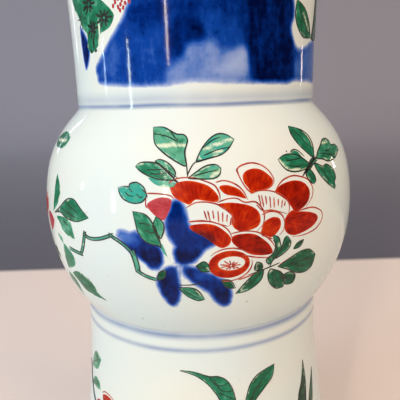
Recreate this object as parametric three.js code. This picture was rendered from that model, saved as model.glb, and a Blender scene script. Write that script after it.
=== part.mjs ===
// A porcelain beaker vase of the gu form, about 395 mm tall.
// It is thrown on the wheel as three open sections (neck, bulb and foot) and a base disc.
// Their flat rims are combed, coated with slip and pressed together, and each seam is backed
// inside by a smoothed roll of clay. Millimetres, +Z up, standing on Z = 0, axis on Z.
import * as THREE from "three";

// Heights of the three thrown sections
const FOOT_HEIGHT = 122;
const BULB_HEIGHT = 88;
const NECK_HEIGHT = 185;

// Outside radii
const MOUTH_RADIUS = 101;
const NECK_SEAM_RADIUS = 53;
const BULB_RADIUS = 70;
const WAIST_SEAM_RADIUS = 55.3;
const FOOT_RADIUS = 73.5;

// Walls
const NECK_WALL = 5.6;
const LIP_THICKNESS = 4.2;
const BULB_WALL = 6;
const FOOT_WALL = 6.6;

// Seams: the width of the rims that meet, the height of their thickened lands, and the clay between
const RIM_WIDTH = 8.4;
const LAND_HEIGHT = 5;
const LAND_TAPER = 7;
const SLIP_THICKNESS = 1.2;
const SLIP_SETBACK = 0.8;
const COIL_PROUD = 2.6;
const FIT_GAP = 0.3;

// Comb grooves cut round each rim, and how far the slip's keys stand into them
const GROOVE_SHARES = [1 / 3, 2 / 3];
const GROOVE_WIDTH = 1.8;
const GROOVE_DEPTH = 1.1;
const GROOVE_KEY = 0.5;

// Neck: how far it rises before it flares, and the lip's slope above the horizontal
const NECK_STRAIGHT = 90;
const LIP_SLOPE = THREE.MathUtils.degToRad(42);
const LIP_REACH = 52;

// Bulb: height of the widest part as a share of the section, and how full the curve is
const BULB_BELLY = 0.5;
const SHOULDER_RUN = 6.5;
const SHOULDER_DROP = 7.5;
const SHOULDER_FULLNESS = 25;
const HIP_FULLNESS = 20;
const HIP_RUN = 6.2;
const HIP_RISE = 7;

// Foot: the flare, the turned band at the bottom, and the ring that the vase stands on
const FOOT_STRAIGHT = 34;
const FOOT_FLARE_RISE = 40;
const FOOT_FLARE_RUN = 12;
const FOOT_BAND_HEIGHT = 9;
const FOOT_BAND_STEP = 1.4;
const FOOT_BEVEL = 2.2;
const FOOT_RING_WIDTH = 12;

// Base disc: its underside's height over the table, its thickness and the ledge that carries it
const BASE_RECESS = 6;
const BASE_THICKNESS = 8;
const BASE_DISH = 1.2;
const BASE_FILLET = 4;
const LEDGE_WIDTH = 3;

// Finger ridges left by throwing on the inside of the bulb and the foot
const RIDGE_PITCH = 11;
const RIDGE_HEIGHT = 0.45;

// Smoothness of the turned surfaces
const FACETS_ROUND = 44;
const WALL_STEPS = 10;
const BULB_STEPS = 6;
const LIP_STEPS = 5;
const COIL_STEPS = 5;

// Heights and radii worked out from the sections
const WAIST_SEAM_Z = FOOT_HEIGHT;
const NECK_SEAM_Z = WAIST_SEAM_Z + BULB_HEIGHT;
const SEAM_HALF = SLIP_THICKNESS / 2 + FIT_GAP;
const BELLY_Z = WAIST_SEAM_Z + BULB_HEIGHT * BULB_BELLY;
const RING_INSIDE = FOOT_RADIUS - FOOT_BEVEL - FOOT_RING_WIDTH;
const SEAT_RADIUS = RING_INSIDE + LEDGE_WIDTH;
const BASE_BOTTOM = BASE_RECESS + FIT_GAP;
const BASE_TOP = BASE_BOTTOM + BASE_THICKNESS;

const glazed = new THREE.MeshStandardMaterial({ color: 0xe9ece6, roughness: 0.12, metalness: 0 });
const bareClay = new THREE.MeshStandardMaterial({ color: 0xd9cdb9, roughness: 0.75, metalness: 0 });
const driedSlip = new THREE.MeshStandardMaterial({ color: 0xe0d6c6, roughness: 0.85, metalness: 0 });

const point = (radius, height) => new THREE.Vector2(radius, height);

// A piece turned about Z from its closed half section, listed anticlockwise in (radius, height).
function turned(name, section, material) {
  const closed = section[0].x > 0 ? [...section, section[0]] : section;
  const geometry = new THREE.LatheGeometry(closed, FACETS_ROUND);
  geometry.rotateX(Math.PI / 2);
  const piece = new THREE.Mesh(geometry, material);
  piece.name = name;
  return piece;
}

// Points of a wall curve moved square to it by a thickness, which may change along the curve.
function offsetWall(curve, thicknessAt, steps) {
  const points = [];
  for (let step = 0; step <= steps; step++) {
    const t = step / steps;
    const along = curve.getTangent(t);
    const inward = point(-along.y, along.x);
    points.push(curve.getPoint(t).addScaledVector(inward, thicknessAt(t)));
  }
  return points;
}

// The radius of a profile at a height, by straight lines between its points.
function radiusAt(profile, height) {
  for (let i = 1; i < profile.length; i++) {
    const [a, b] = [profile[i - 1], profile[i]];
    const share = (height - a.y) / (b.y - a.y);
    if (share >= 0 && share <= 1) return THREE.MathUtils.lerp(a.x, b.x, share);
  }
  return profile[profile.length - 1].x;
}

// An inside wall with the throwing ridges added, kept between two heights and listed downwards.
function ridged(wall, low, high) {
  const profile = wall.filter((p) => p.y > low && p.y < high);
  const first = profile[0];
  const last = profile[profile.length - 1];
  const count = Math.max(2, Math.round((last.y - first.y) / RIDGE_PITCH) * 2);
  const points = [];
  for (let step = 0; step <= count; step++) {
    const height = THREE.MathUtils.lerp(last.y, first.y, step / count);
    const ridge = step % 2 === 0 ? 0 : RIDGE_HEIGHT;
    points.push(point(radiusAt(profile, height) - ridge, height));
  }
  return points;
}

// V grooves across a flat rim between two radii, listed inwards, each depth away from the face.
function grooves(outer, inner, face, halfWidth, depth) {
  return GROOVE_SHARES.flatMap((share) => {
    const middle = THREE.MathUtils.lerp(outer, inner, share);
    return [point(middle + halfWidth, face), point(middle, face + depth), point(middle - halfWidth, face)];
  });
}

// The combed rim of a section: side is +1 on an upward face and -1 on a downward one.
function combedRim(seamRadius, face, side) {
  const inner = seamRadius - RIM_WIDTH;
  return [...grooves(seamRadius, inner, face, GROOVE_WIDTH / 2, -side * GROOVE_DEPTH), point(inner, face)];
}

// Outer wall curves, each listed upwards
const lipBead = LIP_THICKNESS / 2;
const lipCentre = point(MOUTH_RADIUS - lipBead, NECK_SEAM_Z + NECK_HEIGHT - lipBead);
const lipAlong = point(Math.cos(LIP_SLOPE), Math.sin(LIP_SLOPE));
const lipOutward = point(lipAlong.y, -lipAlong.x);
const lipStart = lipCentre.clone().addScaledVector(lipOutward, lipBead);
const neckCurve = new THREE.CubicBezierCurve(
  point(NECK_SEAM_RADIUS, NECK_SEAM_Z + SEAM_HALF),
  point(NECK_SEAM_RADIUS, NECK_SEAM_Z + NECK_STRAIGHT),
  lipStart.clone().addScaledVector(lipAlong, -LIP_REACH),
  lipStart,
);
const hipCurve = new THREE.CubicBezierCurve(
  point(WAIST_SEAM_RADIUS, WAIST_SEAM_Z + SEAM_HALF),
  point(WAIST_SEAM_RADIUS + HIP_RUN, WAIST_SEAM_Z + SEAM_HALF + HIP_RISE),
  point(BULB_RADIUS, BELLY_Z - HIP_FULLNESS),
  point(BULB_RADIUS, BELLY_Z),
);
const shoulderCurve = new THREE.CubicBezierCurve(
  point(BULB_RADIUS, BELLY_Z),
  point(BULB_RADIUS, BELLY_Z + SHOULDER_FULLNESS),
  point(NECK_SEAM_RADIUS + SHOULDER_RUN, NECK_SEAM_Z - SEAM_HALF - SHOULDER_DROP),
  point(NECK_SEAM_RADIUS, NECK_SEAM_Z - SEAM_HALF),
);
const flareEnd = point(FOOT_RADIUS - FOOT_BAND_STEP, FOOT_BAND_HEIGHT);
const footCurve = new THREE.CubicBezierCurve(
  flareEnd,
  point(flareEnd.x - FOOT_FLARE_RUN, flareEnd.y + FOOT_FLARE_RISE),
  point(WAIST_SEAM_RADIUS, WAIST_SEAM_Z - FOOT_STRAIGHT),
  point(WAIST_SEAM_RADIUS, WAIST_SEAM_Z - SEAM_HALF),
);

// The trumpet neck with its rolled lip.
function neck() {
  const bottom = NECK_SEAM_Z + SEAM_HALF;
  const landTop = bottom + LAND_HEIGHT;
  const thicknessAt = (t) => THREE.MathUtils.lerp(NECK_WALL, LIP_THICKNESS, t);
  const inside = offsetWall(neckCurve, thicknessAt, WALL_STEPS)
    .filter((p) => p.y > landTop + LAND_TAPER)
    .reverse();
  const lip = [];
  for (let step = 1; step < LIP_STEPS; step++) {
    const spoke = lipOutward.clone().rotateAround(point(0, 0), (Math.PI * step) / LIP_STEPS);
    lip.push(lipCentre.clone().addScaledVector(spoke, lipBead));
  }
  const section = [
    ...neckCurve.getPoints(WALL_STEPS),
    ...lip,
    ...inside,
    point(NECK_SEAM_RADIUS - RIM_WIDTH, landTop),
    ...combedRim(NECK_SEAM_RADIUS, bottom, -1).reverse(),
  ];
  return turned("neck", section, glazed);
}

// The swelling middle section, open at both ends.
function bulb() {
  const bottom = WAIST_SEAM_Z + SEAM_HALF;
  const top = NECK_SEAM_Z - SEAM_HALF;
  const lining = [hipCurve, shoulderCurve].flatMap((curve) => offsetWall(curve, () => BULB_WALL, WALL_STEPS));
  const section = [
    ...hipCurve.getPoints(BULB_STEPS),
    ...shoulderCurve.getPoints(BULB_STEPS).slice(1),
    ...combedRim(NECK_SEAM_RADIUS, top, 1),
    point(NECK_SEAM_RADIUS - RIM_WIDTH, top - LAND_HEIGHT),
    ...ridged(lining, bottom + LAND_HEIGHT + LAND_TAPER, top - LAND_HEIGHT - LAND_TAPER),
    point(WAIST_SEAM_RADIUS - RIM_WIDTH, bottom + LAND_HEIGHT),
    ...combedRim(WAIST_SEAM_RADIUS, bottom, -1).reverse(),
  ];
  return turned("bulb", section, glazed);
}

// The splayed foot section with its turned band, standing ring and the ledge for the base.
function foot() {
  const top = WAIST_SEAM_Z - SEAM_HALF;
  const seatTop = BASE_TOP + BASE_FILLET;
  const lining = offsetWall(footCurve, () => FOOT_WALL, WALL_STEPS);
  const section = [
    point(FOOT_RADIUS - FOOT_BEVEL, 0),
    point(FOOT_RADIUS, FOOT_BEVEL),
    point(FOOT_RADIUS, FOOT_BAND_HEIGHT - FOOT_BAND_STEP),
    ...footCurve.getPoints(WALL_STEPS),
    ...combedRim(WAIST_SEAM_RADIUS, top, 1),
    point(WAIST_SEAM_RADIUS - RIM_WIDTH, top - LAND_HEIGHT),
    ...ridged(lining, seatTop + LAND_TAPER, top - LAND_HEIGHT - LAND_TAPER),
    point(SEAT_RADIUS, seatTop),
    point(SEAT_RADIUS, BASE_RECESS),
    point(RING_INSIDE, BASE_RECESS),
    point(RING_INSIDE, 0),
  ];
  return turned("foot", section, glazed);
}

// The slip between two rims, with keys that stand into the comb grooves above and below.
// It is wiped back from the outside, where the glaze runs over the joint.
function seamSlip(name, seamRadius, seamZ) {
  const inner = seamRadius - RIM_WIDTH;
  const outer = seamRadius - SLIP_SETBACK;
  const low = seamZ - SLIP_THICKNESS / 2;
  const high = seamZ + SLIP_THICKNESS / 2;
  const halfKey = GROOVE_WIDTH / 2 - FIT_GAP;
  const section = [
    point(outer, low),
    point(outer, high),
    ...grooves(seamRadius, inner, high, halfKey, GROOVE_KEY),
    point(inner, high),
    point(inner, low),
    ...grooves(seamRadius, inner, low, halfKey, -GROOVE_KEY).reverse(),
  ];
  return turned(name, section, driedSlip);
}

// The roll of clay pressed over a seam from inside: flat against the lands, rounded to the hollow.
function seamCoil(name, seamRadius, seamZ) {
  const back = seamRadius - RIM_WIDTH - FIT_GAP;
  const half = LAND_HEIGHT - FIT_GAP;
  const section = [];
  for (let step = 0; step <= COIL_STEPS; step++) {
    const turn = (Math.PI * step) / COIL_STEPS;
    section.push(point(back - COIL_PROUD * Math.sin(turn), seamZ + half * Math.cos(turn)));
  }
  return turned(name, section, bareClay);
}

// The base disc, slightly dished underneath, lying on the foot's ledge.
function baseDisc() {
  const edge = SEAT_RADIUS - SLIP_THICKNESS - 2 * FIT_GAP;
  const section = [
    point(0, BASE_BOTTOM + BASE_DISH),
    point(RING_INSIDE, BASE_BOTTOM),
    point(edge, BASE_BOTTOM),
    point(edge, BASE_TOP),
    point(0, BASE_TOP),
  ];
  return turned("base_disc", section, bareClay);
}

// The slip round the base disc, drawn up into a fillet above it.
function baseSlip() {
  const outer = SEAT_RADIUS - FIT_GAP;
  const inner = outer - SLIP_THICKNESS;
  const seat = BASE_TOP + FIT_GAP;
  const section = [
    point(outer, BASE_BOTTOM),
    point(outer, BASE_TOP + BASE_FILLET - FIT_GAP),
    point(inner - BASE_FILLET / 3, BASE_TOP + BASE_FILLET / 3),
    point(inner - BASE_FILLET, seat),
    point(inner, seat),
    point(inner, BASE_BOTTOM),
  ];
  return turned("base_seam_slip", section, driedSlip);
}

const vase = new THREE.Group();
vase.name = "gu_vase";
vase.add(foot(), baseSlip(), baseDisc());
vase.add(seamSlip("waist_seam_slip", WAIST_SEAM_RADIUS, WAIST_SEAM_Z));
vase.add(seamCoil("waist_seam_coil", WAIST_SEAM_RADIUS, WAIST_SEAM_Z));
vase.add(bulb());
vase.add(seamSlip("neck_seam_slip", NECK_SEAM_RADIUS, NECK_SEAM_Z));
vase.add(seamCoil("neck_seam_coil", NECK_SEAM_RADIUS, NECK_SEAM_Z));
vase.add(neck());

export default vase;
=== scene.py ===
"""A porcelain beaker vase of the gu form, painted in underglaze cobalt and overglaze enamels.

The three thrown sections are fine turned shells that meet at their seams under one coat of glaze.
Cobalt lies in the glaze and is held as two attributes of each shell. The enamels and the drawn lines
are thin raised bodies that sit on the glaze. Sizes are millimetres until a mesh is finished.

Everything painted is set out on the unrolled vase: a point is its distance round from the front,
measured at the belly's radius and counted to the right, and its height over the floor.
"""

import logging
import math
from collections.abc import Callable, Sequence
from dataclasses import dataclass, field, replace
from enum import Enum

import bmesh
import bpy
import numpy as np
from mathutils import Matrix, Vector


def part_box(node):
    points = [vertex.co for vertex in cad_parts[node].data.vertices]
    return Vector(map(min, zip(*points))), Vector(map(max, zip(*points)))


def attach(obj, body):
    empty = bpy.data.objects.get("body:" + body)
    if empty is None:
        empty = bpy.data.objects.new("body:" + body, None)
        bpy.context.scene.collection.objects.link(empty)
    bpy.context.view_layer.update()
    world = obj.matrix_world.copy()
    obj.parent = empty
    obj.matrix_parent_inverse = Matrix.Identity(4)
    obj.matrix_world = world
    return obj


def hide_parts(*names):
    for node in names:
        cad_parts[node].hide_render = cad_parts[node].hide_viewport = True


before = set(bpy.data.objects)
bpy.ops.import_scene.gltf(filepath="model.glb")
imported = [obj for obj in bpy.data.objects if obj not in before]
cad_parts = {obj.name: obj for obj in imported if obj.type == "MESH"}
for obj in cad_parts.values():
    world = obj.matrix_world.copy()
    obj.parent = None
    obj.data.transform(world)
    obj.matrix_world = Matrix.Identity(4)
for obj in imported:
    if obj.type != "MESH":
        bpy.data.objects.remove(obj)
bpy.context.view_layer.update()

MM = 0.001
BODY = "root"
SHEET_RADIUS = 70.0
GLASS_BEND = 1.23
FULL_TURN = math.tau * SHEET_RADIUS
SHARP_CORNER = math.radians(40)
ROUGH_STEPS = 40
DISC_ROUNDS = 192
NO_COBALT = -9.0
NOT_PAINTED = -99.0
COAT_MARKS = ("edge", "hue", "pale", "across", "along")

log = logging.getLogger("gu_vase")

Point = tuple[float, float]
Trail = tuple[Point, ...]


class Slot(Enum):
    """The finishes of the record, one for each kind of piece made here."""

    GLAZE = "glazed_porcelain"
    CLAY = "bare_clay"
    GREEN = "green_enamel"
    RED = "iron_red"
    LINE = "dark_line"


def ink(code: str) -> tuple[float, float, float, float]:
    """Turn a colour written as it looks on a screen into the linear values that shaders use.

    Args:
        code: Six hexadecimal digits, two each for red, green and blue.

    Returns:
        Linear red, green and blue, and an alpha of 1.
    """
    shares = [int(code[i:i + 2], 16) / 255 for i in (0, 2, 4)]
    linear = [s / 12.92 if s <= 0.04045 else ((s + 0.055) / 1.055) ** 2.4 for s in shares]
    return linear[0], linear[1], linear[2], 1.0


def blend(low: float, high: float, share: float) -> float:
    """Return the value that lies a share of the way from low to high."""
    return low + (high - low) * share


def eased(share: np.ndarray | float) -> np.ndarray | float:
    """Return a share from 0 to 1 with a smooth start and end."""
    held = np.clip(share, 0, 1)
    return held * held * (3 - 2 * held)


# Shader arithmetic


class Wire:
    """A shader socket that takes part in Python arithmetic, where each sign adds a Math node."""

    def __init__(self, dye: "Dye", socket: bpy.types.NodeSocket) -> None:
        """Wrap a socket of a material's node tree."""
        self.dye = dye
        self.socket = socket

    def math(self, operation: str, *others: "Wire | float") -> "Wire":
        """Add a Math node on this socket and others."""
        return self.dye.node("ShaderNodeMath", {"operation": operation}, self, *others)

    def __add__(self, other: "Wire | float") -> "Wire":
        """Return the sum."""
        return self.math("ADD", other)

    __radd__ = __add__

    def __sub__(self, other: "Wire | float") -> "Wire":
        """Return this less the other."""
        return self.math("SUBTRACT", other)

    def __rsub__(self, other: float) -> "Wire":
        """Return the other less this."""
        return self.dye.node("ShaderNodeMath", {"operation": "SUBTRACT"}, other, self)

    def __mul__(self, other: "Wire | float") -> "Wire":
        """Return the product."""
        return self.math("MULTIPLY", other)

    __rmul__ = __mul__

    def __truediv__(self, other: "Wire | float") -> "Wire":
        """Return the quotient."""
        return self.math("DIVIDE", other)

    def __abs__(self) -> "Wire":
        """Return the size without its sign."""
        return self.math("ABSOLUTE")

    def most(self, other: "Wire | float") -> "Wire":
        """Return the larger of the two."""
        return self.math("MAXIMUM", other)

    def rise(self, start: float, end: float) -> "Wire":
        """Return a smooth step from 0 to 1.

        Args:
            start: Where it is still 0.
            end: Where it is 1, which may lie below start.

        Returns:
            The step.
        """
        steps = {"interpolation_type": "SMOOTHSTEP"}
        low, high, first, last = (start, end, 0.0, 1.0) if start < end else (end, start, 1.0, 0.0)
        return self.dye.node("ShaderNodeMapRange", steps, self, low, high, first, last)


class Dye:
    """One material and the nodes that colour it."""

    def __init__(self, name: str) -> None:
        """Start a material that holds nothing but its output.

        Args:
            name: Its name.
        """
        self.material = bpy.data.materials.new(name)
        self.material.use_nodes = True
        self.tree = self.material.node_tree
        self.tree.nodes.clear()
        self.output = self.tree.nodes.new("ShaderNodeOutputMaterial")

    def node(self, kind: str, settings: dict, *values: object, out: int | str = 0, **named: object) -> Wire:
        """Add a node.

        Args:
            kind: The node's type.
            settings: Properties that are set before anything is joined to it. The key stops holds a ramp's
                stops as pairs of place and colour.
            *values: Numbers, colours or wires for its sockets in their order. None leaves one as it is.
            out: Which of its outputs is wanted, by number or name.
            **named: Numbers, colours or wires for sockets by name, with _ for a space.

        Returns:
            The wanted output.
        """
        made = self.tree.nodes.new(kind)
        for key, value in settings.items():
            if key == "stops":
                self._set_stops(made.color_ramp, value)
            else:
                setattr(made, key, value)
        live = [socket for socket in made.inputs if socket.enabled]
        pairs = list(zip(live, values))
        pairs += [(made.inputs[key.replace("_", " ")], value) for key, value in named.items()]
        for socket, value in pairs:
            if isinstance(value, Wire):
                self.tree.links.new(value.socket, socket)
            elif value is not None:
                socket.default_value = value
        outs = [socket for socket in made.outputs if socket.enabled]
        return Wire(self, outs[out] if isinstance(out, int) else made.outputs[out])

    @staticmethod
    def _set_stops(ramp: bpy.types.ColorRamp, stops: Sequence[tuple[float, str]]) -> None:
        """Give a ramp its stops.

        Args:
            ramp: The ramp, which starts with two.
            stops: Pairs of place and colour code, in order.
        """
        while len(ramp.elements) < len(stops):
            ramp.elements.new(1.0)
        for element, (place, code) in zip(ramp.elements, stops):
            element.position = place
            element.color = ink(code)

    def place(self) -> Wire:
        """Return the Object coordinates."""
        return self.node("ShaderNodeTexCoord", {}, out="Object")

    def flow(self) -> Wire:
        """Return the coordinates that follow the brush: across its way, along it, and by the tint."""
        across, along = (self.attribute(name) * MM for name in ("across", "along"))
        return self.node("ShaderNodeCombineXYZ", {}, across, along, self.attribute("hue"))

    def axis(self, place: Wire, letter: str) -> Wire:
        """Return one coordinate of a place, in millimetres."""
        return self.node("ShaderNodeSeparateXYZ", {}, place, out=letter) / MM

    def attribute(self, name: str) -> Wire:
        """Return a number that the mesh holds at its vertices."""
        return self.node("ShaderNodeAttribute", {"attribute_name": name}, out="Fac")

    def noise(self, place: Wire, size: float, detail: float = 2.0, stretch: tuple = (1, 1, 1)) -> Wire:
        """Return a cloudy pattern from 0 to 1.

        Args:
            place: The coordinates that it follows, in metres.
            size: The width of one cloud, in millimetres.
            detail: How many finer layers it holds.
            stretch: How many times longer the clouds are along X, Y and Z.

        Returns:
            The pattern.
        """
        scale = [1 / (size * MM * s) for s in stretch]
        spread = self.node("ShaderNodeVectorMath", {"operation": "MULTIPLY"}, place, scale)
        return self.node("ShaderNodeTexNoise", {}, spread, Scale=1.0, Detail=detail, out="Fac")

    def mix(self, share: Wire | float, low: Wire | str, high: Wire | str) -> Wire:
        """Return a colour between two.

        Args:
            share: How much of the second it holds, from 0 to 1.
            low: The first colour, as a wire or a code.
            high: The second.

        Returns:
            The colour.
        """
        settings = {"data_type": "RGBA", "clamp_factor": True}
        ends = [ink(end) if isinstance(end, str) else end for end in (low, high)]
        return self.node("ShaderNodeMix", settings, share, *ends)

    def ramp(self, share: Wire, *stops: tuple[float, str]) -> Wire:
        """Return the colour that a ramp has at a share from 0 to 1."""
        return self.node("ShaderNodeValToRGB", {"stops": stops}, share)

    def bump(self, height: Wire, depth: float) -> Wire:
        """Return a normal that follows a height from 0 to 1.

        Args:
            height: The relief.
            depth: What a height of 1 stands for, in millimetres.

        Returns:
            The normal.
        """
        return self.node("ShaderNodeBump", {}, Strength=1.0, Distance=depth * MM, Height=height)

    def finish(self, **sockets: object) -> bpy.types.Material:
        """Join the surface to the output.

        Args:
            **sockets: Values or wires of the Principled shader, by socket name with _ for a space.

        Returns:
            The material.
        """
        surface = self.node("ShaderNodeBsdfPrincipled", {}, **sockets)
        self.tree.links.new(surface.socket, self.output.inputs["Surface"])
        return self.material


# The finishes


@dataclass(frozen=True)
class Ring:
    """A line round the vase, of cobalt, or of painted shade where one stands for a seam's shadow: its height,
    half its width, its softness and its strength.
    """

    height: float
    half: float
    soft: float
    strength: float


@dataclass(frozen=True)
class Glaze:
    """Clear glaze over white porcelain, with cobalt painted under it."""

    name: str
    rings: tuple[Ring, ...] = ()
    cool: str = "dde5e3"
    warm: str = "e6e5da"
    fleck: str = "9a8350"
    line: str = "3a62a6"
    roughness: float = 0.08

    def cobalt(self, dye: Dye, place: Wire) -> Wire:
        """Return how dense the cobalt is.

        Args:
            dye: The material.
            place: Its coordinates.

        Returns:
            The density from 0 to 1.
        """
        fine = dye.noise(place, 2.6, 3.0) - 0.5
        streak = dye.noise(place, 4.0, 3.0, (1, 1, 3.5)) - 0.5
        heap = dye.noise(place, 1.3, 1.0).rise(0.6, 0.85)
        depth = dye.attribute("cobalt_depth")
        full = dye.attribute("cobalt_tone").rise(-0.15, 1.1)
        density = full + full * (streak * 0.65 + fine * 0.42 + heap * 0.1)
        return (depth + fine * 0.5).rise(-1.0, 1.0) * density

    def lines(self, dye: Dye, place: Wire) -> Wire:
        """Return how full the lines round the vase are.

        Args:
            dye: The material.
            place: Its coordinates.

        Returns:
            The fullness from 0 to 1.
        """
        wander = (dye.noise(place, 30.0, 1.0) - 0.5) * 0.9
        height = dye.axis(place, "Z") + wander
        load = dye.attribute("cobalt_depth").rise(-60.0, -40.0) * (
            dye.noise(place, 18.0, 2.0).rise(0.15, 0.65) * 0.45 + 0.55
        )
        fullness = load * 0
        for ring in self.rings:
            band = abs(height - ring.height).rise(ring.half + ring.soft, ring.half - ring.soft)
            fullness = fullness.most(band * load * ring.strength)
        return fullness

    def material(self) -> bpy.types.Material:
        """Make the finish.

        Returns:
            Its material.
        """
        dye = Dye(self.name)
        place = dye.place()
        body = dye.mix(dye.noise(place, 45.0, 1.0).rise(0.2, 0.8), self.cool, self.warm)
        body = dye.mix(dye.noise(place, 2.2, 0.0).rise(0.87, 0.9) * 0.4, body, self.fleck)
        density = self.cobalt(dye, place)
        blue = dye.ramp(
            density, (0.0, "bcc4dc"), (0.2, "8c9dcb"), (0.4, "4068b4"), (0.6, "0e3f98"), (0.8, "01246e"),
            (1.0, "000a38"),
        )
        body = dye.mix(self.lines(dye, place), body, self.line)
        colour = dye.mix(density.rise(0.0, 0.14), body, blue)
        skin = dye.noise(place, 2.4, 1.0) * 0.25 + dye.noise(place, 14.0, 1.0, (1, 1, 0.5))
        wheel = dye.noise(place, 1.8, 1.0, (40, 40, 1)) * 0.35
        return dye.finish(
            Base_Color=colour, Roughness=self.roughness, IOR=GLASS_BEND, Normal=dye.bump(skin + wheel, 0.05),
        )


@dataclass(frozen=True)
class Clay:
    """Fired porcelain with no glaze on it, turned or left as slip."""

    name: str
    colour: str
    dark: str
    grain: float = 0.9
    depth: float = 0.06
    roughness: float = 0.72

    def material(self) -> bpy.types.Material:
        """Make the finish.

        Returns:
            Its material.
        """
        dye = Dye(self.name)
        place = dye.place()
        grain = dye.noise(place, self.grain, 3.0)
        turning = dye.noise(place, 1.6, 1.0, (20, 20, 1))
        stain = dye.noise(place, 12.0, 3.0).rise(0.45, 0.75)
        colour = dye.mix(stain * 0.6 + grain * 0.2, self.colour, self.dark)
        rough = grain * 0.15 + (self.roughness - 0.07)
        relief = dye.bump(grain * 0.5 + turning, self.depth)
        return dye.finish(Base_Color=colour, Roughness=rough, Normal=relief)


@dataclass(frozen=True)
class GreenEnamel:
    """Translucent copper green, which pools darker and lets the white through in pale streaks."""

    name: str = "copper_green"
    deepest: str = "123a26"
    deep: str = "1f6243"
    middle: str = "2b7f5e"
    light: str = "64a888"
    sea: str = "38a090"
    bare: str = "dfe5c8"
    roughness: float = 0.13

    def material(self) -> bpy.types.Material:
        """Make the finish.

        Returns:
            Its material.
        """
        dye = Dye(self.name)
        place = dye.place()
        pool = dye.noise(place, 3.4, 2.0) - 0.5
        brush = dye.noise(dye.flow(), 1.1, 2.0, (1, 5, 1)) - 0.5
        thin = dye.attribute("edge").rise(0.9, 0.0) * 0.12
        tint = dye.attribute("hue") * 0.5 + 0.5 + pool * 0.75 + brush * 0.6 + thin
        green = dye.ramp(
            tint, (0.0, self.deepest), (0.28, self.deep), (0.52, self.middle), (0.72, self.light),
            (1.0, self.sea),
        )
        gap = dye.attribute("edge").rise(0.9, 0.2) * dye.noise(place, 3.0, 1.0).rise(0.55, 0.68)
        bare = (dye.attribute("pale") + brush * 0.8).rise(0.3, 0.95).most(gap * 0.85) * 0.9
        colour = dye.mix(bare, green, self.bare)
        relief = dye.bump(pool + brush * 0.5, 0.05)
        return dye.finish(Base_Color=colour, Roughness=self.roughness, IOR=GLASS_BEND, Normal=relief)


@dataclass(frozen=True)
class IronRed:
    """Thin iron red with the streaks of the brush, darker where cobalt lies under it."""

    name: str = "iron_red_wash"
    dark: str = "760b00"
    middle: str = "af1d00"
    bright: str = "d4470c"
    pink_deep: str = "a0242c"
    pink: str = "c9525a"
    under: str = "260a1c"
    roughness: float = 0.3

    def material(self) -> bpy.types.Material:
        """Make the finish.

        Returns:
            Its material.
        """
        dye = Dye(self.name)
        place = dye.place()
        flow = dye.flow()
        brush = dye.noise(flow, 0.7, 3.0, (1, 7, 1)) - 0.5
        pool = dye.noise(place, 4.0, 2.0) - 0.5
        rim = dye.attribute("edge").rise(0.8, 0.0) * 0.3
        hue = dye.attribute("hue")
        tint = brush * 1.0 + pool * 1.3 + 0.42 + rim + hue * 0.4
        red = dye.ramp(tint, (0.0, self.dark), (0.45, self.middle), (0.95, self.bright))
        red = dye.mix(hue, red, dye.mix(tint - 0.4, self.pink_deep, self.pink))
        colour = dye.mix(dye.attribute("pale") * 0.8, red, self.under)
        rough = brush * 0.15 + self.roughness
        return dye.finish(Base_Color=colour, Roughness=rough, IOR=GLASS_BEND, Normal=dye.bump(brush, 0.02))


@dataclass(frozen=True)
class BrushLine:
    """A drawn line, which thins where the brush ran dry."""

    name: str
    full: str
    dry: str
    roughness: float = 0.35

    def material(self) -> bpy.types.Material:
        """Make the finish.

        Returns:
            Its material.
        """
        dye = Dye(self.name)
        dryness = dye.noise(dye.place(), 2.2, 3.0)
        colour = dye.mix(dryness.rise(0.35, 0.7), self.full, self.dry)
        return dye.finish(Base_Color=colour, Roughness=dryness * 0.2 + self.roughness)


# The turned shells


@dataclass(frozen=True)
class Wall:
    """An outer wall as a cubic curve through half the vase, listed upwards in (radius, height)."""

    corners: tuple[Vector, Vector, Vector, Vector]

    def points(self, count: int) -> list[Vector]:
        """Return count steps along the curve, both ends included."""
        return [self.at(step / count) for step in range(count + 1)]

    def steps(self, size: float) -> int:
        """Return how many steps of about a size the curve takes."""
        rough = self.points(ROUGH_STEPS)
        return math.ceil(sum((b - a).length for a, b in zip(rough, rough[1:])) / size)

    def at(self, t: float) -> Vector:
        """Return the place at a share along the curve."""
        a, b, c, d = self.corners
        return a * (1 - t) ** 3 + b * 3 * (1 - t) ** 2 * t + c * 3 * (1 - t) * t ** 2 + d * t ** 3

    def inward(self, t: float) -> Vector:
        """Return the way into the wall.

        Args:
            t: The share along the curve.

        Returns:
            The unit vector.
        """
        a, b, c, d = self.corners
        along = (b - a) * (1 - t) ** 2 + (c - b) * 2 * (1 - t) * t + (d - c) * t ** 2
        return Vector((-along.y, along.x)).normalized()

    def lining(self, thickness: Callable[[float], float], count: int) -> list[Vector]:
        """Return the inner face.

        Args:
            thickness: The wall's thickness at a share along the curve.
            count: How many steps it has.

        Returns:
            Its points, listed upwards.
        """
        shares = [step / count for step in range(count + 1)]
        return [self.at(t) + self.inward(t) * thickness(t) for t in shares]


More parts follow.
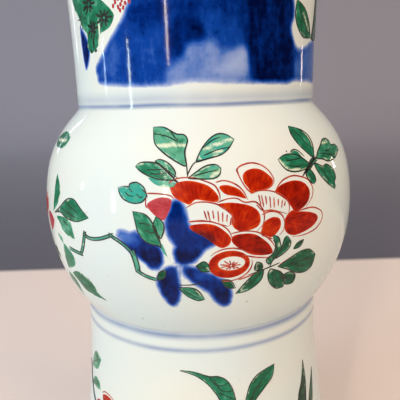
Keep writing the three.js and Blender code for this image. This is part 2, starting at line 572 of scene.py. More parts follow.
@dataclass(frozen=True)
class VaseForm:
    """Sizes that the sections share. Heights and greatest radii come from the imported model."""

    waist_seam: float
    neck_seam: float
    top: float
    mouth: float
    belly: float
    foot: float
    base_top: float
    neck_join: float = 53.0
    waist_join: float = 55.3
    rim_width: float = 8.4
    seam_half: float = 0.9
    land: float = 5.0
    land_taper: float = 7.0
    skin: float = 0.45
    hairline: float = 0.01
    groove_width: float = 1.8
    groove_depth: float = 1.1
    lip_thickness: float = 4.2
    lip_slope: float = math.radians(42)
    lip_reach: float = 52.0
    neck_straight: float = 90.0
    shoulder_run: float = 6.5
    shoulder_drop: float = 7.5
    shoulder_fullness: float = 27.5
    hip_run: float = 6.2
    hip_rise: float = 7.0
    hip_fullness: float = 20.0
    foot_straight: float = 34.0
    flare_rise: float = 40.0
    flare_run: float = 12.0
    band_height: float = 9.0
    band_step: float = 1.4

    @classmethod
    def from_frame(cls) -> "VaseForm":
        """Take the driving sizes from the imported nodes.

        Returns:
            The form.
        """
        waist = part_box("waist_seam_slip")
        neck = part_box("neck_seam_slip")
        return cls(
            waist_seam=(waist[0].z + waist[1].z) / 2 / MM,
            neck_seam=(neck[0].z + neck[1].z) / 2 / MM,
            top=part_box("neck")[1].z / MM,
            mouth=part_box("neck")[1].x / MM,
            belly=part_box("bulb")[1].x / MM,
            foot=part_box("foot")[1].x / MM,
            base_top=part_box("base_disc")[1].z / MM,
        )

    @property
    def bead(self) -> float:
        """Half the lip's thickness."""
        return self.lip_thickness / 2

    @property
    def lip_out(self) -> Vector:
        """The direction square to the lip's slope, away from the axis and down."""
        return Vector((math.sin(self.lip_slope), -math.cos(self.lip_slope)))

    @property
    def lip_centre(self) -> Vector:
        """The centre of the lip's rounding."""
        return Vector((self.mouth - self.bead, self.top - self.bead))

    @property
    def neck(self) -> Wall:
        """The outside of the neck."""
        end = self.lip_centre + self.lip_out * self.bead
        slope = Vector((math.cos(self.lip_slope), math.sin(self.lip_slope)))
        low = self.neck_seam + self.seam_half
        return Wall((
            Vector((self.neck_join, low)), Vector((self.neck_join, self.neck_seam + self.neck_straight)),
            end - slope * self.lip_reach, end,
        ))

    @property
    def belly_height(self) -> float:
        """The height of the widest part of the bulb."""
        return (self.waist_seam + self.neck_seam) / 2

    @property
    def hip(self) -> Wall:
        """The outside of the bulb's lower half."""
        low = self.waist_seam + self.seam_half
        return Wall((
            Vector((self.waist_join, low)), Vector((self.waist_join + self.hip_run, low + self.hip_rise)),
            Vector((self.belly, self.belly_height - self.hip_fullness)),
            Vector((self.belly, self.belly_height)),
        ))

    @property
    def shoulder(self) -> Wall:
        """The outside of the bulb's upper half."""
        high = self.neck_seam - self.seam_half
        return Wall((
            Vector((self.belly, self.belly_height)),
            Vector((self.belly, self.belly_height + self.shoulder_fullness)),
            Vector((self.neck_join + self.shoulder_run, high - self.shoulder_drop)),
            Vector((self.neck_join, high)),
        ))

    @property
    def flare(self) -> Wall:
        """The outside of the foot over its turned band."""
        low = Vector((self.foot - self.band_step, self.band_height))
        return Wall((
            low, low + Vector((-self.flare_run, self.flare_rise)),
            Vector((self.waist_join, self.waist_seam - self.foot_straight)),
            Vector((self.waist_join, self.waist_seam - self.seam_half)),
        ))

    def combed(self, join: float, seam: float, side: int) -> list[Vector]:
        """Return a section's rim beside a seam, inwards from the glaze's skin.

        Args:
            join: The outside radius at the seam.
            seam: The seam's height.
            side: 1 for the section over the seam, -1 for the one under it.

        Returns:
            Points across the skin's edge and the rim with its two comb grooves.
        """
        face = seam + side * self.seam_half
        points = [Vector((join - self.skin, seam + side * self.hairline)), Vector((join - self.skin, face))]
        for share in (1 / 3, 2 / 3):
            middle = join - self.rim_width * share
            half = self.groove_width / 2
            points += [
                Vector((middle + half, face)), Vector((middle, face + side * self.groove_depth)),
                Vector((middle - half, face)),
            ]
        inner = join - self.rim_width
        return points + [Vector((inner, face)), Vector((inner, face + side * self.land))]


def ridged(wall: list[Vector], pitch: float = 11.0, height: float = 0.45) -> list[Vector]:
    """Return a lining with the soft ridges that fingers leave in throwing.

    Args:
        wall: The lining.
        pitch: The height of one ridge and its hollow.
        height: How far a ridge stands inwards.

    Returns:
        The lining with its ridges.
    """
    start = wall[0].y
    swells = [(1 - math.cos((p.y - start) / pitch * math.tau)) / 2 * height for p in wall]
    return [Vector((p.x - swell, p.y)) for p, swell in zip(wall, swells)]


def spun(work: bmesh.types.BMesh, rounds: int, wedge: int = 3) -> None:
    """Spin a half section about Z: a wedge first, and then twice as much each time.

    Args:
        work: The mesh, which holds the half section in the plane Y = 0.
        rounds: How many steps the full turn has, which is the wedge's steps doubled a few times.
        wedge: How many steps the first wedge has.
    """
    turn = math.tau * wedge / rounds
    bmesh.ops.spin(
        work, geom=[*work.verts, *work.edges], cent=(0, 0, 0), axis=(0, 0, 1), dvec=(0, 0, 0),
        angle=turn, steps=wedge, use_merge=False, use_normal_flip=False, use_duplicate=False,
    )
    while turn < math.tau - 1e-6:
        copy = bmesh.ops.duplicate(work, geom=[*work.verts, *work.edges, *work.faces])["geom"]
        corners = [item for item in copy if isinstance(item, bmesh.types.BMVert)]
        bmesh.ops.rotate(work, verts=corners, cent=(0, 0, 0), matrix=Matrix.Rotation(turn, 3, "Z"))
        turn *= 2
    bmesh.ops.remove_doubles(work, verts=work.verts, dist=1e-7)


def soften(work: bmesh.types.BMesh) -> None:
    """Shade a mesh smooth, apart from its sharp corners.

    Args:
        work: The mesh.
    """
    for face in work.faces:
        face.smooth = True
    for edge in work.edges:
        edge.smooth = edge.is_boundary or edge.calc_face_angle(0.0) < SHARP_CORNER


def turned(name: str, section: Sequence[Vector], rounds: int = 384) -> bpy.types.Object:
    """Spin a closed half section about Z.

    Args:
        name: The piece's name.
        section: Points in (radius, height), listed anticlockwise. It may start and end on the axis.
        rounds: How many steps it takes round the axis.

    Returns:
        The piece, in metres.
    """
    work = bmesh.new()
    points = [work.verts.new((p.x * MM, 0.0, p.y * MM)) for p in section]
    ring = points if section[0].x < MM else [*points, points[0]]
    for pair in zip(ring, ring[1:]):
        work.edges.new(pair)
    spun(work, rounds)
    bmesh.ops.dissolve_degenerate(work, edges=work.edges, dist=1e-8)
    bmesh.ops.recalc_face_normals(work, faces=work.faces)
    soften(work)
    return bake_mesh(name, work)


def bake_mesh(name: str, work: bmesh.types.BMesh) -> bpy.types.Object:
    """Write a working mesh into a new object at the origin.

    Args:
        name: The object's name.
        work: The working mesh, which is freed.

    Returns:
        The object.
    """
    mesh = bpy.data.meshes.new(name)
    work.to_mesh(mesh)
    work.free()
    piece = bpy.data.objects.new(name, mesh)
    bpy.context.scene.collection.objects.link(piece)
    return piece


def settle(piece: bpy.types.Object, slot: Slot, *replaced: str) -> None:
    """Hand a finished piece over to the frame.

    Args:
        piece: The piece.
        slot: The record's finish meant for the piece. It is not used.
        *replaced: The CAD nodes that it stands for.
    """
    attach(piece, BODY)
    if replaced:
        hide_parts(*replaced)
    triangles = sum(len(face.vertices) - 2 for face in piece.data.polygons)
    log.info("%s: %d triangles", piece.name, triangles)


# What is painted


def trail(*numbers: float) -> Trail:
    """Pair numbers up as points (distance round the belly from the front, height)."""
    return tuple(zip(numbers[::2], numbers[1::2]))


def smooth(points: Sequence[Point], closed: bool = False, steps: int = 5) -> list[Point]:
    """Round a trail off with a curve that runs through all its points.

    Args:
        points: The points.
        closed: Whether the last joins the first.
        steps: How many steps it takes between two points.

    Returns:
        The curve's points.
    """
    count = len(points)
    spans = count if closed else count - 1
    curve = []
    for i in range(spans):
        ends = (i - 1, i, i + 1, i + 2)
        a, b, c, d = (points[k % count] if closed else points[min(max(k, 0), count - 1)] for k in ends)
        for step in range(steps):
            t = step / steps
            curve.append(tuple(
                b[k] + 0.5 * t * (c[k] - a[k] + t * (2 * a[k] - 5 * b[k] + 4 * c[k] - d[k]
                + t * (3 * (b[k] - c[k]) + d[k] - a[k])))
                for k in (0, 1)
            ))
    return curve if closed else [*curve, points[-1]]


def line_distance(x: np.ndarray, y: np.ndarray, line: Sequence[Point]) -> np.ndarray:
    """Measure how far points lie from a line.

    Args:
        x: Their first coordinates.
        y: Their second coordinates.
        line: The line's points.

    Returns:
        The distances.
    """
    nearest = np.full(x.shape, np.inf)
    for (ax, ay), (bx, by) in zip(line, line[1:]):
        dx, dy = bx - ax, by - ay
        share = np.clip(((x - ax) * dx + (y - ay) * dy) / max(dx * dx + dy * dy, 1e-12), 0, 1)
        nearest = np.minimum(nearest, np.hypot(x - ax - share * dx, y - ay - share * dy))
    return nearest


def border_distance(x: np.ndarray, y: np.ndarray, loop: Sequence[Point]) -> np.ndarray:
    """Measure how far points lie from a closed outline.

    Args:
        x: Their first coordinates.
        y: Their second coordinates.
        loop: The outline.

    Returns:
        The distances, which are positive inside.
    """
    closed = [*loop, loop[0]]
    inside = np.zeros(x.shape, bool)
    for (ax, ay), (bx, by) in zip(closed, closed[1:]):
        if ay != by:
            inside ^= ((ay > y) != (by > y)) & (x < ax + (y - ay) / (by - ay) * (bx - ax))
    return line_distance(x, y, closed) * np.where(inside, 1, -1)


@dataclass(frozen=True)
class Leaf:
    """A leaf of green enamel: its edges from stalk to tip, its drawn veins, its tint and its pale streaks."""

    under: Trail
    over: Trail
    veins: tuple[Trail, ...] = ()
    hue: float = 0.0
    pale: tuple[Trail, ...] = ()
    lined: bool = True


@dataclass(frozen=True)
class Petal:
    """A petal of iron red: its shape, where its strokes start, its lines and its tint, from dark to pink."""

    fill: Trail
    root: Point
    lines: tuple[Trail, ...] = ()
    hue: float = 0.0
    hole: Trail = ()


@dataclass(frozen=True)
class Wash:
    """Cobalt under the glaze: its outline, how dense it is, how soft its edge is, and where it pools."""

    outline: Trail
    tone: float = 0.74
    soft: float = 1.35
    only_tone: bool = False


@dataclass(frozen=True)
class Motif:
    """Things that are painted together."""

    leaves: tuple[Leaf, ...] = ()
    petals: tuple[Petal, ...] = ()
    washes: tuple[Wash, ...] = ()
    dark_lines: tuple[Trail, ...] = ()
    red_lines: tuple[Trail, ...] = ()
    bold_lines: tuple[Trail, ...] = ()
    dabs: tuple[Trail, ...] = ()


@dataclass(frozen=True)
class Placement:
    """Where a copy of a motif goes: its shift round and up, its size about a height, and its turning over."""

    around: float = 0.0
    up: float = 0.0
    size: float = 1.0
    pivot: float = 165.0
    spread: float = 1.0
    mirrored: bool = False

    @property
    def width(self) -> float:
        """How many times wider the copy is on the unrolled surface, below 0 if it's turned over."""
        return self.size * self.spread * (-1 if self.mirrored else 1)

    def put(self, point: Point) -> Point:
        """Return where a point of the motif comes to lie."""
        return self.around + point[0] * self.width, self.pivot + self.up + (point[1] - self.pivot) * self.size

    def reflected(self, about: float) -> "Placement":
        """Return the placement turned over about a distance round."""
        return replace(self, around=2 * about - self.around, mirrored=not self.mirrored)

    def run(self, points: Sequence[Point]) -> list[Point]:
        """Return where a trail comes to lie, rounded off."""
        return [self.put(point) for point in smooth(points)]

    def undo(self, around: np.ndarray, height: np.ndarray) -> tuple[np.ndarray, np.ndarray]:
        """Return where points of the vase lie on the motif."""
        turn = (around - self.around + FULL_TURN / 2) % FULL_TURN - FULL_TURN / 2
        return turn / self.width, self.pivot + (height - self.up - self.pivot) / self.size


def between(curve: Sequence[Point], share: float) -> Point:
    """Return a point between a curve's ends.

    Args:
        curve: The curve.
        share: How far along its points it lies, from 0 to 1.

    Returns:
        The point.
    """
    i = min(int(share * (len(curve) - 1)), len(curve) - 2)
    rest = share * (len(curve) - 1) - i
    return blend(curve[i][0], curve[i + 1][0], rest), blend(curve[i][1], curve[i + 1][1], rest)


def leaf(
    under: Sequence[float], over: Sequence[float], *veins: Sequence[float], hue: float = 0.0,
    pale: Sequence[Sequence[float]] = (), lined: bool = True,
) -> Leaf:
    """Return a leaf whose numbers are written in one run each.

    Args:
        under: One edge from stalk to tip.
        over: The other edge between the same ends.
        *veins: Its drawn veins.
        hue: Its tint.
        pale: Its pale streaks.
        lined: Whether its edges are drawn.

    Returns:
        The leaf.
    """
    edge = trail(*under)
    other = edge[0], *trail(*over), edge[-1]
    return Leaf(edge, other, tuple(trail(*v) for v in veins), hue, tuple(trail(*p) for p in pale), lined)


def petal(fill: Sequence[float], root: Point, *lines: Sequence[float], hue: float = 0.0) -> Petal:
    """Return a petal whose numbers are written in one run each."""
    return Petal(trail(*fill), root, tuple(trail(*line) for line in lines), hue)


def fringe(start: Trail, end: Trail, count: int) -> tuple[Trail, ...]:
    """Return hairs drawn from one trail to another.

    Args:
        start: Where the hairs start, from the first to the last.
        end: Where they end.
        count: How many there are.

    Returns:
        The hairs.
    """
    first, last = smooth(start), smooth(end)
    hairs = []
    for i in range(count):
        a, b = (between(curve, i / (count - 1)) for curve in (first, last))
        reach = 0.85 + 0.15 * math.sin(2.3 * i)
        hairs.append((a, (blend(a[0], b[0], reach), blend(a[1], b[1], reach))))
    return tuple(hairs)


def star(centre: Point, inner: float, outer: float, count: int, flat: float = 1.0) -> tuple[Trail, ...]:
    """Return short lines that radiate from a centre.

    Args:
        centre: The centre.
        inner: How far out they start.
        outer: How far out they end.
        count: How many there are.
        flat: Their height as a share of their width.

    Returns:
        The lines.
    """
    rays = []
    for i in range(count):
        turn = math.tau * i / count + 0.2 * math.sin(3.1 * i)
        reach = outer * (0.82 + 0.18 * math.sin(5.3 * i))
        way = math.cos(turn), math.sin(turn) * flat
        rays.append(tuple((centre[0] + way[0] * r, centre[1] + way[1] * r) for r in (inner, reach)))
    return tuple(rays)


def dashes(centre: Point, width: float, height: float, count: int) -> tuple[Trail, ...]:
    """Return short upright dabs that are strewn over an oval.

    Args:
        centre: The oval's centre.
        width: Its width.
        height: Its height.
        count: How many dabs there are.

    Returns:
        The dabs.
    """
    dabs = []
    for i in range(count):
        reach, turn = math.sqrt((i + 0.5) / count) / 2, 2.4 * i
        x, y = centre[0] + width * reach * math.cos(turn), centre[1] + height * reach * math.sin(turn)
        dabs.append(((x, y), (x + 0.6 * math.sin(3 * i), y - 1.5)))
    return tuple(dabs)


def oval(centre: Point, half: Point, count: int = 16, start: float = 0.0, sweep: float = 1.0) -> Trail:
    """Return points round an oval, or round a share of it.

    Args:
        centre: The centre.
        half: Half its width and half its height.
        count: How many points there are.
        start: Where the first lies, in turns from the right.
        sweep: How many turns the points cover.

    Returns:
        The points.
    """
    points = []
    for i in range(count):
        turn = math.tau * (start + sweep * i / (count if sweep == 1.0 else count - 1))
        points.append((centre[0] + half[0] * math.cos(turn), centre[1] + half[1] * math.sin(turn)))
    return tuple(points)


def branch(points: Trail, width: float) -> Leaf:
    """Return a twig as a narrow leaf of even width along a trail.

    Args:
        points: Its middle line.
        width: How wide it is.

    Returns:
        The twig.
    """
    sides = ([], [])
    for i, (x, y) in enumerate(points):
        before, after = points[max(i - 1, 0)], points[min(i + 1, len(points) - 1)]
        way = Vector((after[0] - before[0], after[1] - before[1])).normalized() * width / 2
        sides[0].append((x - way.y, y + way.x))
        sides[1].append((x + way.y, y - way.x))
    return Leaf(tuple(sides[0]), tuple(sides[1]), hue=0.5)


UPPER_LEAVES = Motif(
    leaves=(
        leaf((-4, 190.5, -5.5, 190.7, -11, 193.7, -15.5, 196.8, -17.2, 199, -18.5, 203.5),
             (-4.6, 194.8, -4, 197.2, -3.6, 199, -5, 200.7, -8, 201, -10.5, 202, -14, 203.4),
             (-18, 201.3, -11.7, 200.2, -6.8, 198), (-11, 202.2, -8.8, 200, -7, 198.6), hue=0.4,
             pale=((-16.5, 197.3, -13, 197.1, -9, 197.7, -4.3, 197.2),)),
        leaf((-7, 185, -9, 185.7, -13.6, 186, -17, 186.8, -21, 188.6, -23.5, 190.5),
             (-9.5, 187, -13, 190, -16, 191.6, -21.3, 191.7), (-19, 189.2, -16, 189.3, -12.6, 189.4),
             (-17.5, 188, -14, 187.8, -11.4, 188.3)),
        leaf((-8.5, 186.5, -12.6, 190.1, -16, 192.2), (-8, 188, -8.8, 189.6, -11, 191.6, -14, 192.7),
             hue=0.25),
        leaf((-7, 184.5, -9.5, 183.2, -15, 184, -18.5, 186.5), (-13.5, 186), hue=0.5, lined=False),
        leaf((-0.5, 191.5, 4, 192.6, 9, 193.7, 12.2, 195.6, 15, 198.5),
             (0.3, 193.4, 2.2, 196.4, 5.3, 199.2, 8.7, 200.6, 12, 200.3),
             (2, 195.9, 5.8, 198.4, 9.8, 199.6), (2.4, 193.6, 7.3, 195.2, 12.6, 196.1), hue=0.8,
             pale=((2.6, 195.6, 7.5, 197.2, 14, 198.6), (6, 194.2, 9.5, 195))),
        leaf((-3.5, 186.3, 1.5, 185.9, 5.9, 186, 8, 187.3, 8.5, 189.3),
             (-0.1, 188.6, 3.4, 190.3, 6.8, 190.5), (-1, 187.1, 3.8, 188.2, 7.2, 188.6), hue=0.4,
             pale=((5, 186.8, 8.2, 188.4),)),
    ),
    dark_lines=(
        trail(-4.9, 195.5, -4, 191.5, -3.7, 186.7), trail(4.1, 192.6, -0.8, 191.5, -3.2, 188.4, -3.7, 186.7),
        trail(-16, 192.2, -12.6, 190.1, -6.8, 186.2),
    ),
)

LEFT_LEAVES = Motif(
    leaves=(
        leaf((-18.5, 180.5, -19.5, 179, -21, 178, -24, 177.7, -27.5, 178.9, -29.4, 181, -30, 183),
             (-19.5, 183, -21, 184.3, -23, 185, -25.2, 184.4, -25.6, 183.4, -27.5, 183.5),
             (-27, 181.5, -25.5, 180.3, -23.5, 180.2), (-25.5, 182.8, -24, 181.5),
             (-22.5, 181, -21, 179.8, -20, 180.2), (-20.5, 182.6, -19, 181.5, -18.2, 180), hue=1.0),
        Leaf(trail(-14.6, 163, -13.3, 160.4, -11.7, 158.4), trail(-13.6, 164, -12.5, 161.2, -11.7, 158.4),
             hue=0.5, lined=False),
        leaf((-13.8, 162, -15, 162.7, -17.5, 163.2, -20, 164.4, -22.1, 167.2, -23, 170.5, -24, 174.8),
             (-14.2, 164.6, -15.1, 167.9, -16.3, 170.4, -17.9, 172.8, -20, 174.2),
             (-16.7, 170.2, -15.6, 167.4, -14.3, 164.4, -13.6, 161.6),
             (-21.7, 170.6, -19.3, 170.6, -17.2, 169.8), (-19.6, 168.4, -17.3, 167.3, -15.8, 167.9)),
        leaf((-13.8, 165.2, -15.5, 168.3, -16.3, 170.4, -15.1, 173.2),
             (-12.6, 168, -12.5, 170.5, -13.7, 172.3), hue=0.2),
    ),
    red_lines=(trail(-18.5, 181.3, -14, 181.2, -10, 180.6, -8.6, 179.4),
               trail(-18.8, 180.2, -19, 177.5, -18.3, 176)),
)

RIGHT_LEAVES = Motif(
    leaves=(
        leaf((50.4, 189.6, 46.3, 193, 44.2, 195.2, 42.8, 197.6, 42.4, 199.7, 43.1, 201.9),
             (51.9, 192.3, 52.8, 194.6, 52.7, 197.2, 51.6, 198.9, 48.8, 200.5),
             (44.6, 200.5, 46.4, 198.3, 48.4, 195.6, 50.9, 193.8),
             (49, 200.3, 50.8, 198, 51.6, 195.9, 51.3, 193.8), hue=-0.15,
             pale=((50, 200.2, 52, 197.8, 52.4, 194),)),
        leaf((38.2, 192.1, 41.5, 191.4, 44.6, 190.2), (39.6, 193.2, 41.1, 193.5, 42.9, 192.6), hue=-0.2,
             lined=False),
        leaf((47.1, 188, 45, 186.4, 41, 185.9, 37.8, 186, 34.9, 186.9, 32.8, 188.9, 31.8, 190.8),
             (44.5, 189.9, 42.2, 191.3, 39.7, 192, 37.2, 192.3, 34.3, 191.9),
             (35.3, 190, 40.4, 190.2, 43.3, 190.6), (36.4, 188.4, 38.9, 187.6, 41.5, 187.6, 43.9, 188.6),
             hue=-0.25, pale=((32.4, 190.4, 33.6, 188.4, 36.5, 186.6, 41, 186.4),)),
        leaf((52, 189.3, 56.5, 188.7, 60.6, 187.5, 66.6, 187.9, 70.8, 189.2, 75.3, 190.6),
             (54.4, 191.6, 58, 193.7, 61.6, 195.6, 65, 195.9, 67.4, 194.9, 67.9, 193.2, 71.9, 192.9,
              74.6, 191.8), (55.3, 191, 59.8, 190.4, 65, 189.4, 68, 189.6),
             (59.7, 191.6, 63, 191.4, 66.1, 192), hue=-0.1, pale=((60.5, 194.6, 63, 194.8, 65.5, 195),)),
        leaf((49.9, 188, 50.6, 185.8, 52.3, 183.2, 54.4, 181.2, 57.7, 178.8, 61.8, 176.3),
             (52.1, 187.3, 55.3, 186.1, 57.8, 186.6, 61.1, 185.3, 63.6, 182.9, 63.9, 180.6, 62.5, 179.3,
              62.8, 177.4), (52.6, 186.5, 55.6, 183.5, 59.1, 180), (57.9, 184.4, 60, 182.6, 60.5, 181.1),
             hue=-0.2),
        leaf((46.4, 186.2, 44.1, 184.4, 45, 182.4, 46.2, 181.1, 47.6, 180.4),
             (47.9, 184.7, 48.9, 182.9, 49, 181.4), (46.2, 184.6, 46.8, 183, 47.4, 181.8), hue=-0.3),
        branch(trail(52, 189.6, 48.9, 188.4, 45.8, 186.4), 1.8),
    ),
    dark_lines=(trail(38.5, 192.7, 39.6, 193.4, 41.1, 193.6, 42.9, 192.9, 44.2, 191.8, 45.2, 190.7),
                trail(36.5, 193.5, 36.8, 193)),
    bold_lines=(trail(52.3, 189.8, 49.4, 188.7, 46.2, 186.7, 44, 185.3, 41.9, 183.8),),
)

LOWER_LEAVES = Motif(
    leaves=(
        leaf((26, 152.8, 24.7, 155, 27.2, 157, 28.2, 160, 27, 164.3), (30.8, 158, 30.4, 160, 29.4, 163),
             (27.2, 162.5, 29, 158.5, 27.5, 155.5), hue=-0.3),
        leaf((28.5, 154.8, 30.9, 158.7, 32, 162, 33.3, 163), (33.4, 157.2, 35, 160),
             (33.2, 161.5, 31.7, 157.8), hue=-0.4),
        leaf((36.6, 157.3, 38.3, 159.4, 41.4, 160.2), (39.7, 157.7), (38, 158.1, 40.6, 159.6), hue=-0.3),
        leaf((30, 151.3, 35, 149.2, 39.6, 146.8, 44.8, 145.8, 48.6, 147.4, 49.4, 152.4),
             (34.6, 153.5, 39.8, 155.5, 45, 155.4), (35, 151.4, 41.4, 151.6, 48, 151.4),
             (39.4, 149.6, 44.2, 148.6), (43.8, 154.6, 46.2, 152.8), hue=-0.55),
        leaf((26.8, 151, 26, 148.3, 27.5, 144.7, 31, 141.6, 34.5, 141.5),
             (29.7, 149.8, 32.3, 148.2, 34.2, 145.3), (28.3, 149, 31.8, 143.2), (28.3, 146.6, 30.2, 143.4),
             (31.2, 148.3, 33, 144.5), hue=-0.6),
        leaf((32.8, 147, 35, 142.8, 38.8, 142.2, 40, 144), (36.3, 147.8, 39.3, 146), (34.2, 146, 38.4, 144),
             hue=-0.65),
        leaf((24, 151, 23.4, 147.2, 20.8, 144.5, 17.5, 142.8, 13.3, 142.2),
             (21.4, 150.6, 19, 148.8, 15.8, 145.3), (22.5, 149.5, 19, 146, 15.5, 143.3),
             (19.2, 147.9, 17, 145.5), hue=-0.35),
        leaf((22.8, 150.8, 20.2, 151.7, 20.8, 154.7), (23.4, 152.3, 22.6, 154), (21.2, 154, 22, 151.8),
             hue=-0.7),
        leaf((-8.5, 146, -5.8, 142.5, -1.7, 140.2, 1.2, 140.6), (-3.8, 145.9, -1, 144.3),
             (-7, 145.2, -3.5, 142.6, -0.5, 141.4), (-3, 145, -1, 142.6), hue=-0.1),
        leaf((7.5, 148.8, 9.8, 145.3, 13.2, 144.8), (11, 148.2), hue=-0.8),
        leaf((-1.6, 155, 0.4, 152.7, 3.4, 152.7), (1.1, 156.6, 2.9, 155), (-0.6, 154.6, 2.3, 153.6),
             hue=-0.4),
        leaf((-16.6, 148.8, -13.4, 150.3, -12.8, 153.3), (-15.4, 152.1), hue=-0.6),
    ),
    dark_lines=(
        trail(30.6, 152.8, 25.7, 151.6, 17.7, 149.8), trail(27.9, 155.6, 26.3, 151.8),
        trail(-8.4, 147.2, -4, 147.2, 0.5, 148),
    ),
    red_lines=(trail(30.5, 151.8, 37.5, 154.8), trail(14, 148.2, 19, 149.5, 22.5, 151)),
)

PEONY = Motif(
    petals=(
        petal((-18.5, 177, -16.5, 179, -13, 180, -10, 179.5, -9.5, 178, -10.5, 175, -12.5, 172,
               -15.5, 173.5), (-8, 176), hue=1.0),
        petal((-10, 183.5, -7.5, 185, -3, 185.5, 1.5, 184.5, 4.5, 183, 7, 180, 6.5, 178, 2.5, 178.5,
               -1, 179, -3, 177.5, -5, 178, -8.5, 180), (0, 174),
              (-10.5, 184.7, -7.5, 186.3, -2, 186.5, 2.5, 185.2, 6, 183.5, 7.5, 180.5, 7.5, 178)),
        petal((7.5, 183, 10, 183.6, 13.5, 182.5, 15.5, 181, 17, 178.5, 13.5, 179.5, 9.5, 180.5), (15, 175),
              (6.3, 184.6, 9.5, 185.1, 13.5, 183.6, 16.2, 181, 17.6, 178)),
        petal((16.5, 186.6, 18.2, 188, 21.1, 188.5, 23.8, 187.9, 26.2, 186.3, 28.1, 184.2, 27.6, 182.4,
               26, 181.5, 22.3, 180.9, 19.3, 180.1, 18.2, 181.8, 16.6, 184.2), (20, 178),
              (14.2, 187.6, 15.2, 189.3, 18.4, 190.3, 21.4, 190.3, 24.4, 189.3, 26.8, 187.4, 28.2, 185.2,
               28.5, 183.6, 27.6, 182), (14.2, 188.8, 15.4, 185.4, 17.2, 182.2, 19.2, 180),
              (27.7, 182.2, 25.4, 181.2, 21.5, 180.6)),
        petal((28.5, 179.7, 30.8, 181.7, 33.7, 182.6, 37.4, 182.9, 41.4, 182, 44, 180, 44.9, 177.6, 44, 175,
               41.8, 173, 39.2, 171.9, 36.7, 171.5, 35.2, 173.6, 33.4, 175.9, 30.8, 178), (31, 172),
              (28.2, 179.4, 31, 182.6, 33.7, 184, 37.4, 184.6, 41, 183.9, 44.3, 182.6, 46.3, 180.2,
               46.7, 178, 45.6, 175.4, 42.2, 172.5), hue=-0.6),
        petal((32.6, 170.2, 35.2, 172.2, 37.5, 171.6, 40.7, 171.1, 44.8, 170.2, 48, 168.8, 49, 167.2,
               47.6, 165.5, 44.8, 164.1, 40.7, 163.1, 36.7, 162.7, 33.8, 163.6, 32.2, 165.3, 31.9, 168),
              (30, 170), (38.2, 171.6, 44.8, 172, 49, 170.8, 51.3, 169.2, 51.8, 166.9, 50.2, 164.7,
                          46.8, 162.9, 40.7, 162, 35.6, 162.4), hue=-0.3),
        petal((6.6, 177, 9.5, 177.5, 12.2, 177.4, 15.8, 176.7, 18.5, 175.8, 20.8, 174.3, 22, 172.2,
               22, 169.6, 20.5, 167.9, 17.5, 167.1, 14.8, 166.9, 12.6, 168.1, 11.4, 170.1, 11.5, 172.6,
               9.7, 174.6), (12, 165), (6.5, 177.7, 10, 178.8, 13.5, 178.8, 16.5, 177.2, 20.5, 177,
                                        23.4, 173.5, 23.2, 169, 20.6, 166.5)),
        petal((23.2, 169.1, 24.9, 170.3, 27.2, 170.9, 29.5, 170.3, 30.4, 168.7, 30.1, 166.6, 28.8, 164.9,
               26.8, 163.5, 24.9, 164, 22.2, 165.2, 22.6, 167.2), (21, 163),
              (22.6, 172.2, 25.6, 173, 28.6, 172.6, 31, 171, 32, 168.4, 31.6, 165.8, 29.8, 163.8),
              (22.4, 165, 24.6, 163.8, 27, 162.8)),
        petal((11.6, 165.4, 15, 166.1, 19.5, 165.6, 23, 163.4, 26, 160.4, 27.1, 157.4, 23.4, 157, 18.5, 158,
               14.5, 160.4, 11.6, 163), (8, 162), (11.1, 166.5, 16, 167, 21.4, 165.9, 26, 162.5,
                                                   28.7, 158.4), (15, 158.2, 21, 156.5, 27.3, 155.6),
              hue=-0.5),
        petal((-3.4, 169.9, 1, 170.6, 5.2, 170, 8.4, 168, 11, 165, 10.5, 162.6, 8.2, 161.4, 6, 162.2,
               3.6, 164.2, 1, 166.2, -2, 167.8), (8, 158),
              (-3.6, 171.3, 1, 171.7, 6.4, 170.4, 10, 168, 11.6, 164.5)),
        Petal(
            oval((10.5, 154.8), (7.7, 5.4)), (11.3, 155.2),
            (oval((10.2, 154.6), (8.9, 6.5), 10, 0.7, 0.34), oval((10.6, 155), (8.6, 6.1), 8, 0.1, 0.3)),
            hole=oval((11.3, 155.2), (5, 2.7), 12),
        ),
    ),
    red_lines=(
        *star((11.1, 154.4), 0.4, 4.4, 11, 0.6),
        *fringe(trail(1.8, 175.2, 7.5, 174.7, 12.4, 171.6), trail(2.9, 171.2, 7.5, 170.4, 11.7, 169.2), 8),
        *fringe(trail(21.8, 179.4, 27, 178.2, 32.6, 176), trail(22.6, 175, 27, 173.7, 31.9, 173.8), 8),
        trail(-4.4, 176.3, -1, 178, 3.4, 178, 7.6, 176.6, 11.4, 173.4, 12, 170.6, 10, 169.2),
        trail(-3.4, 171.6, 3.1, 171.4, 6.5, 170.4, 10, 169.2),
        trail(19, 180, 22, 180.8, 27, 180.2, 31.5, 178.3, 34.2, 175, 33.7, 170.6),
        trail(20.8, 176, 23.3, 173.6, 27, 173.4, 33.5, 171.2),
    ),
)

